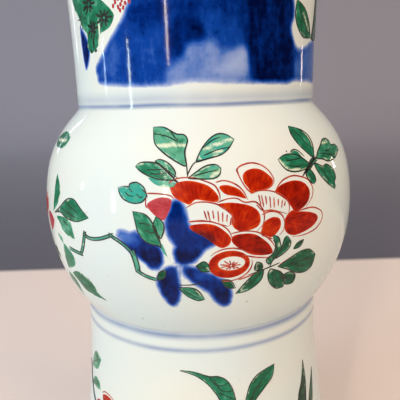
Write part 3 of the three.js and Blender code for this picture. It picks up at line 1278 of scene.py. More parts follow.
BLUE_LEAVES = Motif(washes=(
    Wash(trail(-9.6, 178, -7, 178.8, -4.8, 176, -3.8, 171.3, -3.4, 167.5, -5.8, 162.5, -9, 163, -11.5, 168,
               -11.8, 172, -10.3, 175)),
    Wash(trail(-4.2, 168.5, 0, 169, 3.5, 167.8, 6.2, 165.5, 5.6, 163.2, 1.7, 161, -1.6, 157.2, -6, 155.4,
               -8.8, 157.3, -8.8, 162)),
    Wash(trail(-30.6, 167, -28.6, 167.7, -25.6, 167, -23, 167.5, -20.6, 166.3, -17.2, 164.6, -14.6, 162,
               -13.6, 159.4, -13.9, 156, -16, 153.6, -18.3, 153.6, -20.6, 156.2, -24.4, 158.8, -26.8, 160.6,
               -29.6, 163.2, -30.9, 165)),
    Wash(trail(-12.3, 154.2, -9, 154.3, -8.5, 151.2, -8, 146, -9, 140.5, -11.3, 137.4, -14, 139.5,
               -16.2, 145, -16.3, 149.7)),
    Wash(trail(-6.2, 154.3, -1.7, 154.3, 2.6, 152.3, 7.2, 149.5, 10.3, 146.6, 11.6, 142.4, 11.3, 138,
               8.8, 136.8, 5.6, 139.4, 2.6, 143.8, -2, 147.4, -5.8, 151.2)),
    Wash(oval((-5.5, 158.6), (4.6, 2.8), 10), 0.98, 3.0, True),
    Wash(oval((-17.5, 158), (3.4, 3), 10), 1.0, 3.0, True),
    Wash(oval((-12, 145), (2.8, 5.5), 10), 0.95, 3.0, True),
    Wash(oval((8.8, 143), (2.6, 3.4), 10), 0.98, 3.0, True),
    Wash(oval((-28, 165), (5, 2.6), 10), 0.32, 3.0, True),
    Wash(oval((1.5, 151), (3.4, 1.6), 10), 0.5, 2.5, True),
))

TWIG = Motif(
    leaves=(
        branch(trail(-47.6, 164.8, -45.8, 163.2, -42.8, 162.8, -38.6, 163.5, -34.4, 165, -32.4, 165.6), 1.1),
        branch(trail(-34.8, 165.8, -29, 162.7, -26, 160.2, -24.6, 158), 1.0),
        branch(trail(-25.4, 160.6, -24.1, 156.4, -23.7, 151.7), 1.9),
        branch(trail(-24.4, 152.6, -21.1, 150.5, -16.7, 149.1), 1.1),
        branch(trail(-46.6, 165.4, -48.8, 159.2, -51.6, 154.6), 1.2),
        branch(trail(-50, 155.2, -55, 155.5, -59.5, 156.2), 1.2),
    ),
)

SIDE_LEAVES = Motif(leaves=(
    leaf((-70, 196, -74, 194.6, -84, 195, -92, 197.5), (-69, 199, -76, 201, -84, 200.5), hue=-0.3,
         pale=((-72, 198, -86, 197.5),), lined=False),
    leaf((-73.6, 169.3, -67.4, 174, -65.4, 178.4, -67.3, 182.4, -70.3, 185.4), (-72, 176, -71.2, 182),
         hue=-0.1, lined=False),
    leaf((-71.6, 169.1, -65.5, 170.2, -60.4, 168.8, -53.2, 168.3, -45.8, 170.8),
         (-66.3, 171.8, -60.2, 175.8, -56.4, 176.9, -53.6, 176.4, -50.4, 174),
         (-64, 172.3, -57.5, 170.6, -52.8, 169.8), (-60.5, 175, -55.8, 173.2, -51.5, 171.3), hue=-0.2),
    leaf((-70.7, 168, -67.3, 165.7, -64.7, 162.9, -59.4, 161, -55.5, 160.8),
         (-62.5, 168.7, -57.9, 167.6, -56.5, 164.7), (-63, 167, -59.5, 165.8), hue=0.1, lined=False),
    leaf((-71, 160.3, -69, 157.8, -66.3, 156.6), (-66.8, 159.2), lined=False),
    leaf((-66, 157, -68.2, 151, -69.6, 144.5), (-61.5, 155, -59, 151.7, -61, 147.8), hue=-0.1, lined=False),
    leaf((-67, 143.2, -62.9, 139.8, -60, 136.8, -54.5, 135.6, -46.2, 134.8),
         (-62, 145.4, -57.7, 145.8, -52.5, 144, -50.4, 140.8, -49.6, 137.4), hue=-0.35, lined=False),
    leaf((-72, 142.6, -75, 138, -68.4, 131.5), (-67.5, 141.4, -65.5, 138), hue=-0.2, lined=False),
))

NECK_ROCK = Motif(washes=(
    Wash(trail(-55, 223, -51.5, 220.3, -18, 218.8, -0.5, 219.8, 15, 219, 30.5, 218.9, 51.5, 218.6,
               58.5, 219.6, 75, 219.4, 92, 219.6, 96, 228, 88, 236, 74, 233, 61, 231, 54.5, 238.5, 57, 244,
               55, 251, 50, 258, 41, 264, 31, 259, 19, 268, 4, 263, -8, 271, -20, 263, -27, 253, -33.5, 244,
               -41, 237.5, -50, 230.5, -56, 226), 0.6, 1.7),
    Wash(trail(27, 252, 26, 231.5, 28.5, 223, 31.5, 218, 51.5, 217.5, 58.5, 219, 58, 230.5, 53, 238.5,
               56, 244, 52, 254, 40, 262), 0.92, 2.2, True),
    Wash(trail(-9.5, 241, 3, 240.5, 5, 234, 0, 230, -10.5, 229.5), 0.86, 2.2, True),
    Wash(trail(-32, 247, -8, 250, 4, 258, 22, 252, 24, 240, 5, 243, -12, 241, -26, 238), 0.72, 4.0, True),
    Wash(trail(-2, 233, 10.4, 233.4, 14.5, 230, 25.3, 230.5, 26, 219.5, 12, 217.5, -12, 218, -12.5, 224.5,
               -6, 227.5), 0.31, 2.4, True),
    Wash(trail(11, 223, 17, 227, 24, 231, 26, 227, 24, 222.5), 0.16, 3.2, True),
    Wash(trail(-52, 224, -44, 234, -38, 234, -42, 222), 0.5, 2.4, True),
    Wash(trail(61, 228, 90, 234, 93, 221, 62, 220), 0.42, 3.0, True),
    Wash(trail(-69, 242, -64, 238.5, -61.5, 234, -62.5, 230, -66.5, 226.5, -68.5, 230.5, -69.5, 237), 0.85,
         1.4),
    Wash(trail(-19, 262, -8, 270, 3, 262, 19, 267, 30, 258, 30, 251, 10, 257, -14, 255), 0.4, 3.0, True),
))

NECK_GREEN_ROCK = Motif(
    leaves=(
        leaf((-59.5, 231.5, -62.5, 234, -62, 238.5, -66.5, 242, -70, 246, -75, 250, -77.5, 256, -75, 264,
              -67, 272, -58, 277), (-56, 232.5, -51.5, 235, -50.5, 238, -43.5, 240, -40, 243.5, -41.5, 246,
                                    -45, 248.5, -49, 251.5, -50, 258, -46.5, 264, -50, 271), hue=-0.1,
             lined=False, pale=((-50.8, 243, -50.9, 239, -52, 235),)),
        leaf((79, 236, 83.5, 244, 86.5, 254, 92, 266), (90, 236.5, 97, 243, 99, 254),
             (81, 239, 89, 248, 92, 262), (86, 241, 94, 247), hue=-0.7),
        leaf((78, 236.5, 67, 236, 60.5, 239.5, 58, 244, 59, 249.5), (74.5, 242, 68, 246.7),
             (60, 248, 68, 241, 76, 237.5), (66, 246, 68, 241), (72, 243, 73, 239), hue=-0.35,
             pale=((66, 245, 74, 239),)),
    ),
    dark_lines=star((-66, 245.2), 0.8, 5.5, 8, 0.8),
    bold_lines=(
        *star((-55.7, 240.9), 0.3, 5.4, 9, 0.85),
        *star((-46.4, 243.9), 0.8, 6.6, 9, 0.66), *star((-57.5, 249.8), 1.0, 6.6, 9, 0.7),
        *star((-68, 258), 1.2, 7, 9, 0.8), *star((-56, 262), 1.2, 7, 9, 0.8),
        trail(-56, 238, -56.4, 235.5, -56.2, 233.4), trail(-59.6, 233.2, -58, 232.2),
        trail(-55.8, 232.3, -54.2, 233),
    ),
    dabs=dashes((-35.5, 249.6), 11, 7, 17) + dashes((-37, 258), 12, 5, 14),
)

NECK_STEMS = Motif(
    leaves=(
        branch(trail(6, 262, 4, 274, 8, 284, 18, 292, 22, 300), 2.4),
        branch(trail(18, 292, 34, 300, 48, 314, 52, 330, 47, 344), 1.9),
        branch(trail(8, 284, -10, 296, -26, 300, -40, 312), 1.6),
    ),
    washes=(
        Wash(trail(-27, 276, -20, 284, -9, 287, 0, 284, -6, 276, -18, 272), 0.66, 1.3),
        Wash(trail(30, 281, 38, 289, 50, 291, 58, 286, 48, 278, 36, 275), 0.62, 1.3),
    ),
)

GRASS = Motif(leaves=(
    leaf((0, 14, -2.4, 34, 0.5, 52, 4, 70), (3, 34, 4.6, 52), hue=-0.8),
    leaf((1, 14, 4, 34, 9, 50, 19, 62), (8, 34, 14, 48), hue=-0.6),
    leaf((-1, 14, -9, 30, -15, 42, -22, 49), (-5, 31, -11, 43), hue=-0.7),
    leaf((2, 14, 12, 24, 21, 33, 30, 36), (13, 28, 21, 36), hue=-0.5),
))

FOOT_PLANT = Motif(
    leaves=(
        leaf((15, 74, 10.5, 86, 7.5, 93, 5.5, 96, 1.5, 100.3, -4.5, 104, -12.5, 106),
             (16.5, 86, 15.7, 93, 14, 98, 11, 101.5, 7, 103.2, 2.5, 103.5, -5.5, 105.6),
             (2.5, 103.5, 5, 100.2, 9, 99, 13, 100), (5, 102, 8, 97.4, 12, 96, 14.8, 96.4),
             (7, 96, 11, 94.4, 15.5, 92), (11, 90, 13.2, 84, 14.5, 78), hue=-0.15),
        leaf((17.5, 74, 21.5, 84, 27, 90, 32.5, 94, 38, 98, 39.5, 103.2),
             (19, 84, 21.5, 91, 24, 97, 28, 100.5, 34, 102.3), (18.5, 80, 23, 89, 30, 97, 38, 102),
             (23, 90, 26.5, 91.5), (26, 95.5, 31.5, 95.5), hue=-0.3),
        leaf((16.5, 56, 6, 62, -5, 62.5, -13, 58, -17, 51), (8, 68, -5, 69, -14, 62),
             (13, 60, 2, 65.5, -8, 62.5, -15, 55), hue=-0.3),
        leaf((17, 50, 27, 52, 37, 60, 43, 71), (25, 60, 34, 68), (20, 53, 30, 61, 40, 69), hue=-0.2,
             pale=((26, 60, 36, 67),)),
        leaf((16, 38, 26, 34, 37, 35, 46, 42), (26, 42, 37, 45), (20, 38, 32, 39.5, 43, 41.5),
             (27, 41, 31, 36.5), hue=-0.4),
        leaf((15, 34, 6, 36, -4, 33, -10, 25), (6, 43, -5, 41), (11, 36, 1, 38, -7, 30), hue=-0.1),
        branch(trail(14, 14, 16.5, 30, 15.5, 48, 17, 62, 16, 77), 2.0),
    ),
    washes=(
        Wash(trail(-28, 13, -24, 26, -14, 31, -6, 23, 2, 27, 8, 20, 22, 24, 31, 18, 36, 13, 4, 11.5), 0.66,
             1.4),
        Wash(trail(-22, 15, -20, 24, -13, 27, -9, 18), 0.92, 2.4, True),
        Wash(trail(12, 14, 17, 21, 26, 20, 30, 14), 0.9, 2.2, True),
    ),
)

FOOT_BLADES = Motif(leaves=(
    leaf((58.5, 50, 57, 66, 57, 80.5, 61.5, 88, 64.2, 97), (62.5, 66, 66, 85), hue=-0.95),
    leaf((61, 50, 64, 64, 68.5, 76, 76.5, 88.5), (68, 64, 74, 76), hue=-0.75),
    leaf((60, 40, 51, 48, 46, 56, 45.5, 64), (55, 50, 51, 58), hue=-0.7),
    leaf((60, 38, 69, 45, 79, 50, 88, 51), (69, 41, 80, 45), hue=-0.6),
    branch(trail(57, 14, 60, 30, 59.5, 52), 1.8),
))

FOOT_LEFT_LEAVES = Motif(leaves=(
    leaf((-88, 88, -82, 89.6, -74.5, 92, -69.3, 98.3), (-83, 96, -76, 100.5), (-85, 91, -72, 97.5),
         hue=0.15, lined=False),
    leaf((-86, 80, -77.5, 81.5, -69.2, 82.5), (-80.5, 85.5, -73, 86.8), (-83, 82, -73, 84), hue=0.0,
         lined=False),
    branch(trail(-64, 60, -72, 70, -84, 79, -92, 90), 1.6),
))

Painting = tuple[tuple[Motif, Placement], ...]


def placed(place: Placement, *motifs: Motif) -> Painting:
    """Return motifs that share one placement."""
    return tuple((motif, place) for motif in motifs)


def both_sides(painting: Painting) -> Painting:
    """Return a painting and its mirror image on the back."""
    return painting + tuple((motif, place.reflected(FULL_TURN / 4)) for motif, place in painting)


FRONT_SPRAY = (BLUE_LEAVES, TWIG, UPPER_LEAVES, LEFT_LEAVES, RIGHT_LEAVES, LOWER_LEAVES, PEONY)

BULB_PAINTING = (
    *placed(Placement(around=-0.1, up=0.4, size=0.975), *FRONT_SPRAY),
    *placed(Placement(around=1.4, up=0.4, size=0.975), SIDE_LEAVES),
    *placed(Placement(around=-88.5, up=-11.5, mirrored=True), PEONY),
    *placed(Placement(around=-90, mirrored=True), LOWER_LEAVES, RIGHT_LEAVES),
    *placed(Placement(around=-118), BLUE_LEAVES),
    *placed(Placement(around=155), *FRONT_SPRAY),
)

NECK_PAINTING = both_sides((
    *placed(Placement(around=-0.1, up=0.4, size=0.97), NECK_ROCK, NECK_GREEN_ROCK, NECK_STEMS),
    *placed(Placement(up=140, size=1.1, spread=1.25), PEONY, UPPER_LEAVES, LOWER_LEAVES),
    *placed(Placement(around=68, up=188, size=0.85, spread=1.2, mirrored=True), PEONY, UPPER_LEAVES),
    *placed(Placement(around=29, up=126, spread=1.3, mirrored=True), RIGHT_LEAVES),
)) + (
    *placed(Placement(around=95, up=172, spread=1.2), PEONY, UPPER_LEAVES),
    *placed(Placement(around=-95, up=150, spread=1.2, mirrored=True), PEONY, UPPER_LEAVES),
)

FOOT_PAINTING = both_sides((
    *placed(Placement(around=-0.2, up=-0.9, size=0.975), FOOT_PLANT, FOOT_BLADES, FOOT_LEFT_LEAVES),
    *placed(Placement(around=-56, up=-100, size=0.95), PEONY, LOWER_LEAVES),
)) + (*placed(Placement(around=112), GRASS), *placed(Placement(around=-108, mirrored=True), GRASS))


# How it is painted


class Skin:
    """The glaze's outer face, on which everything is painted."""

    def __init__(self, form: VaseForm) -> None:
        """Take the outline that all the sections share.

        Args:
            form: The vase's sizes.
        """
        walls = (form.flare, form.hip, form.shoulder, form.neck)
        curve = [point for wall in walls for point in wall.points(2 * ROUGH_STEPS)[:-1]]
        self.heights = np.array([point.y for point in curve])
        self.radii = np.array([point.x for point in curve])
        self.tilts = np.arctan(np.gradient(self.radii, self.heights))

    def radius(self, height: float | np.ndarray) -> float | np.ndarray:
        """Return the outside radius at a height."""
        return np.interp(height, self.heights, self.radii)

    def at(self, around: float, height: float, lift: float) -> Vector:
        """Return the place of a point of the unrolled vase.

        Args:
            around: Its distance round from the front, at the belly's radius.
            height: Its height.
            lift: How far it stands out from the glaze.

        Returns:
            The place, in metres.
        """
        tilt = float(np.interp(height, self.heights, self.tilts))
        radius = self.radius(height) + lift * math.cos(tilt)
        turn = around / SHEET_RADIUS
        return Vector((
            radius * math.sin(turn), -radius * math.cos(turn), height - lift * math.sin(tilt),
        )) * MM


class Cobalt:
    """The washes of cobalt that are painted under one section's glaze."""

    bare_tone: float = 0.6
    reach: float = 3.0
    skin_depth: float = 1.0

    def __init__(self, painting: Painting) -> None:
        """Gather the washes of a painting.

        Args:
            painting: Motifs and their placements.
        """
        self.washes = [
            (wash, smooth(wash.outline, closed=True), place)
            for motif, place in painting for wash in motif.washes
        ]

    def lay(self, around: np.ndarray, height: np.ndarray) -> tuple[np.ndarray, np.ndarray]:
        """Measure the cobalt at points of the unrolled vase.

        Args:
            around: Their distances round.
            height: Their heights.

        Returns:
            How far they lie inside a wash, in steps of its softness, and how full its colour is.
        """
        depth = np.full(around.shape, NO_COBALT)
        tone = np.full(around.shape, self.bare_tone)
        for wash, outline, place in self.washes:
            x, y = place.undo(around, height)
            margin = self.reach * wash.soft
            low, high = np.min(outline, axis=0) - margin, np.max(outline, axis=0) + margin
            near = (x > low[0]) & (x < high[0]) & (y > low[1]) & (y < high[1])
            inward = border_distance(x[near], y[near], outline) / wash.soft
            tone[near] += (wash.tone - tone[near]) * eased((inward + 1) / 2)
            if not wash.only_tone:
                depth[near] = np.maximum(depth[near], inward)
        return depth, tone

    def stain(self, piece: bpy.types.Object, skin: Skin) -> None:
        """Write the cobalt into a shell's vertices.

        Args:
            piece: The shell.
            skin: Its outer face. What lies further in stays unpainted.
        """
        corners = np.empty(len(piece.data.vertices) * 3, np.float32)
        piece.data.vertices.foreach_get("co", corners)
        x, y, z = corners.reshape(-1, 3).T.astype(float) / MM
        depth, tone = self.lay(np.arctan2(x, -y) * SHEET_RADIUS, z)
        depth[np.hypot(x, y) < skin.radius(z) - self.skin_depth] = NOT_PAINTED
        for name, values in (("cobalt_depth", depth), ("cobalt_tone", tone)):
            mark = piece.data.attributes.new(name, "FLOAT", "POINT")
            mark.data.foreach_set("value", values.astype(np.float32))


class Coat:
    """One colour over the glaze of one section: raised bodies that are gathered in one piece.

    Bodies that cross lie on a few layers, so that their faces never share a place. A stroke lands
    and lifts off in shares of its length, and its pressure wavers on the way.
    """

    grid: float = 1.2
    seat: float = -0.12
    rim: float = 0.8
    fan: float = 9.0
    layers: int = 7
    layer_step: float = 0.002
    landing: tuple[float, float] = (0.4, 0.12)
    lifting: tuple[float, float] = (0.22, 0.3)
    waver: float = 0.15

    def __init__(self, name: str, skin: Skin) -> None:
        """Start with nothing painted.

        Args:
            name: The piece's name.
            skin: The face that it lies on.
        """
        self.name = name
        self.skin = skin
        self.count = 0
        self.total = self.blank()

    @staticmethod
    def blank() -> bmesh.types.BMesh:
        """Start an empty mesh whose vertices can hold the coat's marks.

        Returns:
            The mesh.
        """
        work = bmesh.new()
        for mark in COAT_MARKS:
            work.verts.layers.float.new(mark)
        return work

    def keep(self, work: bmesh.types.BMesh, base: float, swell: float) -> None:
        """Give a flat shape its thickness, wrap it round the vase and add it.

        Args:
            work: The shape in the plane Y = 0, with its edge mark set. It is freed.
            base: How far its border stands out from the glaze.
            swell: How much further its middle stands out.
        """
        edge = work.verts.layers.float["edge"]
        copy = bmesh.ops.extrude_face_region(work, geom=[*work.faces], use_keep_orig=True)["geom"]
        under = {item for item in copy if isinstance(item, bmesh.types.BMVert)}
        step = self.layer_step * (self.count % self.layers)
        for vert in work.verts:
            share = float(eased(vert[edge] / self.rim))
            lift = self.seat if vert in under else base + step + swell * share
            vert.co = self.skin.at(vert.co.x, vert.co.z, lift)
        bmesh.ops.recalc_face_normals(work, faces=work.faces)
        mesh = bpy.data.meshes.new("body")
        work.to_mesh(mesh)
        work.free()
        self.total.from_mesh(mesh)
        bpy.data.meshes.remove(mesh)
        self.count += 1

    def patch(
        self, outline: Sequence[Point], root: Point, base: float, swell: float, hue: float = 0.0,
        hole: Sequence[Point] = (), pale: Callable[[np.ndarray, np.ndarray], np.ndarray] | None = None,
    ) -> None:
        """Fill an outline.

        Args:
            outline: The outline.
            root: Where the brush strokes start.
            base: How far its border stands out from the glaze.
            swell: How much further its middle stands out.
            hue: Its tint.
            hole: An outline that is left out.
            pale: What gives the pale mark at points of the unrolled vase.
        """
        work = self.blank()
        edges = []
        for loop in filter(len, (outline, hole)):
            ring = [work.verts.new((x, 0.0, z)) for x, z in loop]
            edges += [work.edges.new(pair) for pair in zip(ring, [*ring[1:], ring[0]])]
        bmesh.ops.triangle_fill(work, use_beauty=True, use_dissolve=False, edges=edges, normal=(0, -1, 0))
        low, high = np.min(outline, axis=0), np.max(outline, axis=0)
        for axis, normal in enumerate(((1, 0, 0), (0, 0, 1))):
            for cut in np.arange(low[axis] + self.grid / 2, high[axis], self.grid):
                parts = [*work.verts, *work.edges, *work.faces]
                bmesh.ops.bisect_plane(work, geom=parts, plane_co=(cut, 0, cut), plane_no=normal, dist=1e-4)
        x, y = (np.array([vert.co[axis] for vert in work.verts]) for axis in (0, 2))
        middle = (low + high) / 2
        facing = math.atan2(middle[1] - root[1], middle[0] - root[0])
        turns = np.arctan2(y - root[1], x - root[0]) - facing
        turns = abs(turns) if len(hole) else (turns + math.pi) % math.tau - math.pi
        inside = border_distance(x, y, outline)
        if len(hole):
            inside = np.minimum(inside, -border_distance(x, y, hole))
        marks = {
            "edge": np.maximum(inside, 0), "hue": np.full(x.shape, hue),
            "pale": np.zeros(x.shape) if pale is None else pale(x, y),
            "across": turns * self.fan, "along": np.hypot(x - root[0], y - root[1]),
        }
        for name, values in marks.items():
            layer = work.verts.layers.float[name]
            for vert, value in zip(work.verts, values):
                vert[layer] = value
        self.keep(work, base, swell)

    def stroke(
        self, line: Sequence[Point], width: float, base: float, swell: float, hue: float = 0.0,
    ) -> None:
        """Draw a brush line that thins out at its ends.

        Args:
            line: Its middle.
            width: Its full width.
            base: How far its borders stand out from the glaze.
            swell: How much further its middle stands out.
            hue: Its tint.
        """
        steps = len(line) - 1
        work = self.blank()
        bmesh.ops.create_grid(work, x_segments=steps, y_segments=2, size=1.0)
        edge, tint = (work.verts.layers.float[name] for name in ("edge", "hue"))
        for vert in work.verts:
            vert[tint] = hue
            share = (vert.co.x + 1) / 2
            i = round(share * steps)
            way = Vector(line[min(i + 1, steps)]) - Vector(line[max(i - 1, 0)])
            side = Vector((-way.y, way.x)).normalized()
            landed = self.landing[0] + share / self.landing[1]
            lifted = self.lifting[0] + (1 - share) / self.lifting[1]
            press = min(1.0, landed, lifted)
            press *= 1 + self.waver * math.sin(8 * share + 2 * self.count)
            reach = vert.co.y * width / 2 * press
            vert[edge] = self.rim * (1 - abs(vert.co.y))
            around = line[i][0] + side.x * reach * SHEET_RADIUS / float(self.skin.radius(line[i][1]))
            vert.co = (around, 0.0, line[i][1] + side.y * reach)
        self.keep(work, base, swell)

    def build(self, slot: Slot, material: bpy.types.Material) -> None:
        """Finish the coat as one piece.

        Args:
            slot: The record's finish.
            material: Its material.
        """
        soften(self.total)
        piece = bake_mesh(self.name, self.total)
        piece.data.materials.append(material)
        settle(piece, slot)


@dataclass
class Enamels:
    """What is painted over one section's glaze: green leaves, red petals, and the lines drawn on both.

    Each lift is how far a border stands out from the glaze, and how much further the middle does.
    """

    name: str
    skin: Skin
    painting: Painting
    cobalt: Cobalt
    line_width: float = 0.42
    vein_width: float = 0.36
    red_width: float = 0.48
    bold_width: float = 0.92
    dab_width: float = 1.0
    streak_width: float = 0.8
    slip: float = 0.25
    green_lift: tuple[float, float] = (0.02, 0.07)
    dark_lift: tuple[float, float] = (0.12, 0.06)
    petal_lift: tuple[float, float] = (0.015, 0.03)
    red_lift: tuple[float, float] = (0.05, 0.04)

    def _leaf(self, leaf: Leaf, place: Placement, green: Coat, dark: Coat) -> None:
        """Paint a leaf.

        Args:
            leaf: The leaf.
            place: Where it goes.
            green: The coat of its filling.
            dark: The coat of its lines.
        """
        under, over = place.run(leaf.under), place.run(leaf.over)
        streaks = [place.run(streak) for streak in leaf.pale]

        def pale(x: np.ndarray, y: np.ndarray) -> np.ndarray:
            """Return how near points lie to the pale streaks, from 0 to 1."""
            marks = [np.exp(-(line_distance(x, y, streak) / self.streak_width) ** 2) for streak in streaks]
            return np.max(marks, axis=0) if marks else np.zeros(x.shape)

        slip = self.slip * math.sin(7 * green.count), self.slip * math.cos(5 * green.count)
        outline = [(x + slip[0], y + slip[1]) for x, y in [*under, *over[-2:0:-1]]]
        green.patch(outline, under[0], *self.green_lift, leaf.hue, pale=pale)
        if leaf.lined:
            dark.stroke(under, self.line_width, *self.dark_lift)
            dark.stroke(over, self.line_width, *self.dark_lift)
        for vein in leaf.veins:
            dark.stroke(place.run(vein), self.vein_width, *self.dark_lift)

    def _petal(self, petal: Petal, place: Placement, red: Coat, lines: Coat) -> None:
        """Paint a petal.

        Args:
            petal: The petal.
            place: Where it goes.
            red: The coat of its filling.
            lines: The coat of its lines.
        """

        def over_cobalt(x: np.ndarray, y: np.ndarray) -> np.ndarray:
            """Return how much cobalt shows through, from 0 to 1."""
            return eased((self.cobalt.lay(x, y)[0] + 0.5) / 2)

        hole = [place.put(p) for p in smooth(petal.hole, closed=True)] if petal.hole else []
        fill = [place.put(p) for p in smooth(petal.fill, closed=True)]
        red.patch(fill, place.put(petal.root), *self.petal_lift, petal.hue, hole, over_cobalt)
        for line in petal.lines:
            lines.stroke(place.run(line), self.red_width, *self.red_lift)

    def build(self) -> None:
        """Paint every motif, and make one piece of each coat that has something on it."""
        finishes = (
            ("leaf_enamel", Slot.GREEN, GreenEnamel()),
            ("leaf_lines", Slot.LINE, BrushLine("manganese_line", "10110f", "262b24")),
            ("petal_enamel", Slot.RED, IronRed()),
            ("petal_lines", Slot.RED, BrushLine("iron_red_line", "94180a", "c8553c")),
        )
        green, dark, red, lines = coats = [Coat(f"{self.name}_{part}", self.skin) for part, _, _ in finishes]
        for motif, place in self.painting:
            for leaf in motif.leaves:
                self._leaf(leaf, place, green, dark)
            for petal in motif.petals:
                self._petal(petal, place, red, lines)
            for line in motif.dark_lines:
                dark.stroke(place.run(line), self.vein_width, *self.dark_lift)
            for line in motif.red_lines:
                lines.stroke(place.run(line), self.red_width, *self.red_lift)
            for line in motif.bold_lines:
                dark.stroke(place.run(line), self.bold_width, *self.dark_lift)
            for dab in motif.dabs:
                red.stroke(place.run(dab), self.dab_width, *self.red_lift, hue=1.0)
        for coat, (_, slot, finish) in zip(coats, finishes):
            if coat.count:
                coat.build(slot, finish.material())


@dataclass
class Section:
    """A glazed section of the vase, whose bare faces show as clay."""

    form: VaseForm
    name: str
    glaze: Glaze
    clay: Clay
    skin: Skin
    painting: Painting
    step: float = 1.15
    inner_step: float = 3.5

    def section(self) -> list[Vector]:
        """Return the closed half section."""
        raise NotImplementedError

    def bare_zones(self) -> tuple[tuple[float, float, float, float], ...]:
        """Return zones without glaze: from one radius to another, and from one height to another."""
        raise NotImplementedError

    def is_bare(self, radius: float, height: float) -> bool:
        """Say whether a place on the section is left without glaze."""
        zones = self.bare_zones()
        return any(a < radius < b and low < height < high for a, b, low, high in zones)

    def fine(self, wall: Wall) -> list[Vector]:
        """Return an outer wall in steps of about the section's step."""
        return wall.points(wall.steps(self.step))

    def lining(
        self, wall: Wall, thickness: Callable[[float], float], low: float, high: float,
    ) -> list[Vector]:
        """Return the part of an inner face that lies between two heights, listed upwards."""
        face = wall.lining(thickness, wall.steps(self.inner_step))
        return [point for point in face if low < point.y < high]

    def build(self) -> None:
        """Make the shell with its cobalt, and paint it."""
        piece = turned(self.name + "_glazed", self.section())
        cobalt = Cobalt(self.painting)
        cobalt.stain(piece, self.skin)
        piece.data.materials.append(self.glaze.material())
        piece.data.materials.append(self.clay.material())
        for face in piece.data.polygons:
            radius = math.hypot(face.center.x, face.center.y) / MM
            face.material_index = int(self.is_bare(radius, face.center.z / MM))
        settle(piece, Slot.GLAZE, self.name)
        Enamels(self.name, self.skin, self.painting, cobalt).build()


@dataclass
class Neck(Section):
    """The trumpet neck and its rolled lip."""

    wall: float = 5.6
    lip_steps: int = 12

    def section(self) -> list[Vector]:
        """Draw the closed half section.

        Returns:
            Its points, listed anticlockwise.
        """
        form = self.form
        land_top = form.neck_seam + form.seam_half + form.land
        lip = []
        for step in range(1, self.lip_steps):
            spoke = form.lip_out.copy()
            spoke.rotate(Matrix.Rotation(math.pi * step / self.lip_steps, 2))
            lip.append(form.lip_centre + spoke * form.bead)
        lining = self.lining(
            form.neck, lambda t: blend(self.wall, form.lip_thickness, t), land_top + form.land_taper,
            math.inf,
        )
        return [
            Vector((form.neck_join, form.neck_seam + form.hairline)), *self.fine(form.neck), *lip,
            *reversed(lining), *reversed(form.combed(form.neck_join, form.neck_seam, 1)),
        ]

    def bare_zones(self) -> tuple[tuple[float, float, float, float], ...]:
        """Return the rim's zone."""
        form = self.form
        return (0, form.neck_join - form.skin / 2, 0, form.neck_seam + form.seam_half + form.land),


@dataclass
class Bulb(Section):
    """The swelling middle section, open at both ends."""

    wall: float = 6.0

    def section(self) -> list[Vector]:
        """Draw the closed half section.

        Returns:
            Its points, listed anticlockwise.
        """
        form = self.form
        low, high = form.waist_seam + form.seam_half, form.neck_seam - form.seam_half
        clear = form.land + form.land_taper
        middle = form.belly_height - 1
        lining = self.lining(form.hip, lambda t: self.wall, low + clear, middle)
        lining += self.lining(form.shoulder, lambda t: self.wall, middle, high - clear)
        return [
            Vector((form.waist_join, form.waist_seam + form.hairline)), *self.fine(form.hip),
            *self.fine(form.shoulder)[1:], Vector((form.neck_join, form.neck_seam - form.hairline)),
            *form.combed(form.neck_join, form.neck_seam, -1), *reversed(ridged(lining)),
            *reversed(form.combed(form.waist_join, form.waist_seam, 1)),
        ]

    def bare_zones(self) -> tuple[tuple[float, float, float, float], ...]:
        """Return the zones of both rims.

        Returns:
            The neck's rim and the foot's rim.
        """
        form = self.form
        edge = form.seam_half + form.land
        return (
            (0, form.neck_join - form.skin / 2, form.neck_seam - edge, math.inf),
            (0, form.waist_join - form.skin / 2, 0, form.waist_seam + edge),
        )


@dataclass
class Foot(Section):
    """The splayed foot with its turned band, standing ring and the seat of the base."""

    wall: float = 6.6
    bevel: float = 2.2
    ring_width: float = 12.0
    ledge: float = 3.0
    recess: float = 6.0
    fillet: float = 4.0
    bevel_steps: int = 5
    standing_share: float = 0.35
    hair: float = 1e-3

    @property
    def ring_inside(self) -> float:
        """The inner radius of the standing ring."""
        return self.form.foot - self.bevel - self.ring_width

    def section(self) -> list[Vector]:
        """Draw the closed half section.

        Returns:
            Its points, listed anticlockwise.
        """
        form = self.form
        high = form.waist_seam - form.seam_half
        seat = self.ring_inside + self.ledge
        seat_top = form.base_top + self.fillet
        corner = []
        for step in range(self.bevel_steps + 1):
            turn = math.pi / 2 * step / self.bevel_steps
            corner.append(Vector((
                form.foot - self.bevel * (1 - math.sin(turn)), self.bevel * (1 - math.cos(turn)),
            )))
        lining = self.lining(
            form.flare, lambda t: self.wall, seat_top + form.land_taper, high - form.land - form.land_taper,
        )
        return [
            *corner, Vector((form.foot, form.band_height - form.band_step)), *self.fine(form.flare),
            Vector((form.waist_join, form.waist_seam - form.hairline)),
            *form.combed(form.waist_join, form.waist_seam, -1), *reversed(ridged(lining)),
            Vector((seat, seat_top)), Vector((seat, self.recess)),
            Vector((self.ring_inside, self.recess)), Vector((self.ring_inside, 0.0)),
        ]

    def bare_zones(self) -> tuple[tuple[float, float, float, float], ...]:
        """Return the zones of the rim, the seat and the standing ring.

        Returns:
            The zones.
        """
        form = self.form
        rim = form.waist_seam - form.seam_half - form.land
        return (
            (0, form.waist_join - form.skin / 2, rim, math.inf),
            (0, self.ring_inside + self.ledge + self.hair, -math.inf, form.base_top + self.fillet),
            (self.ring_inside, math.inf, -math.inf, self.bevel * self.standing_share),
        )


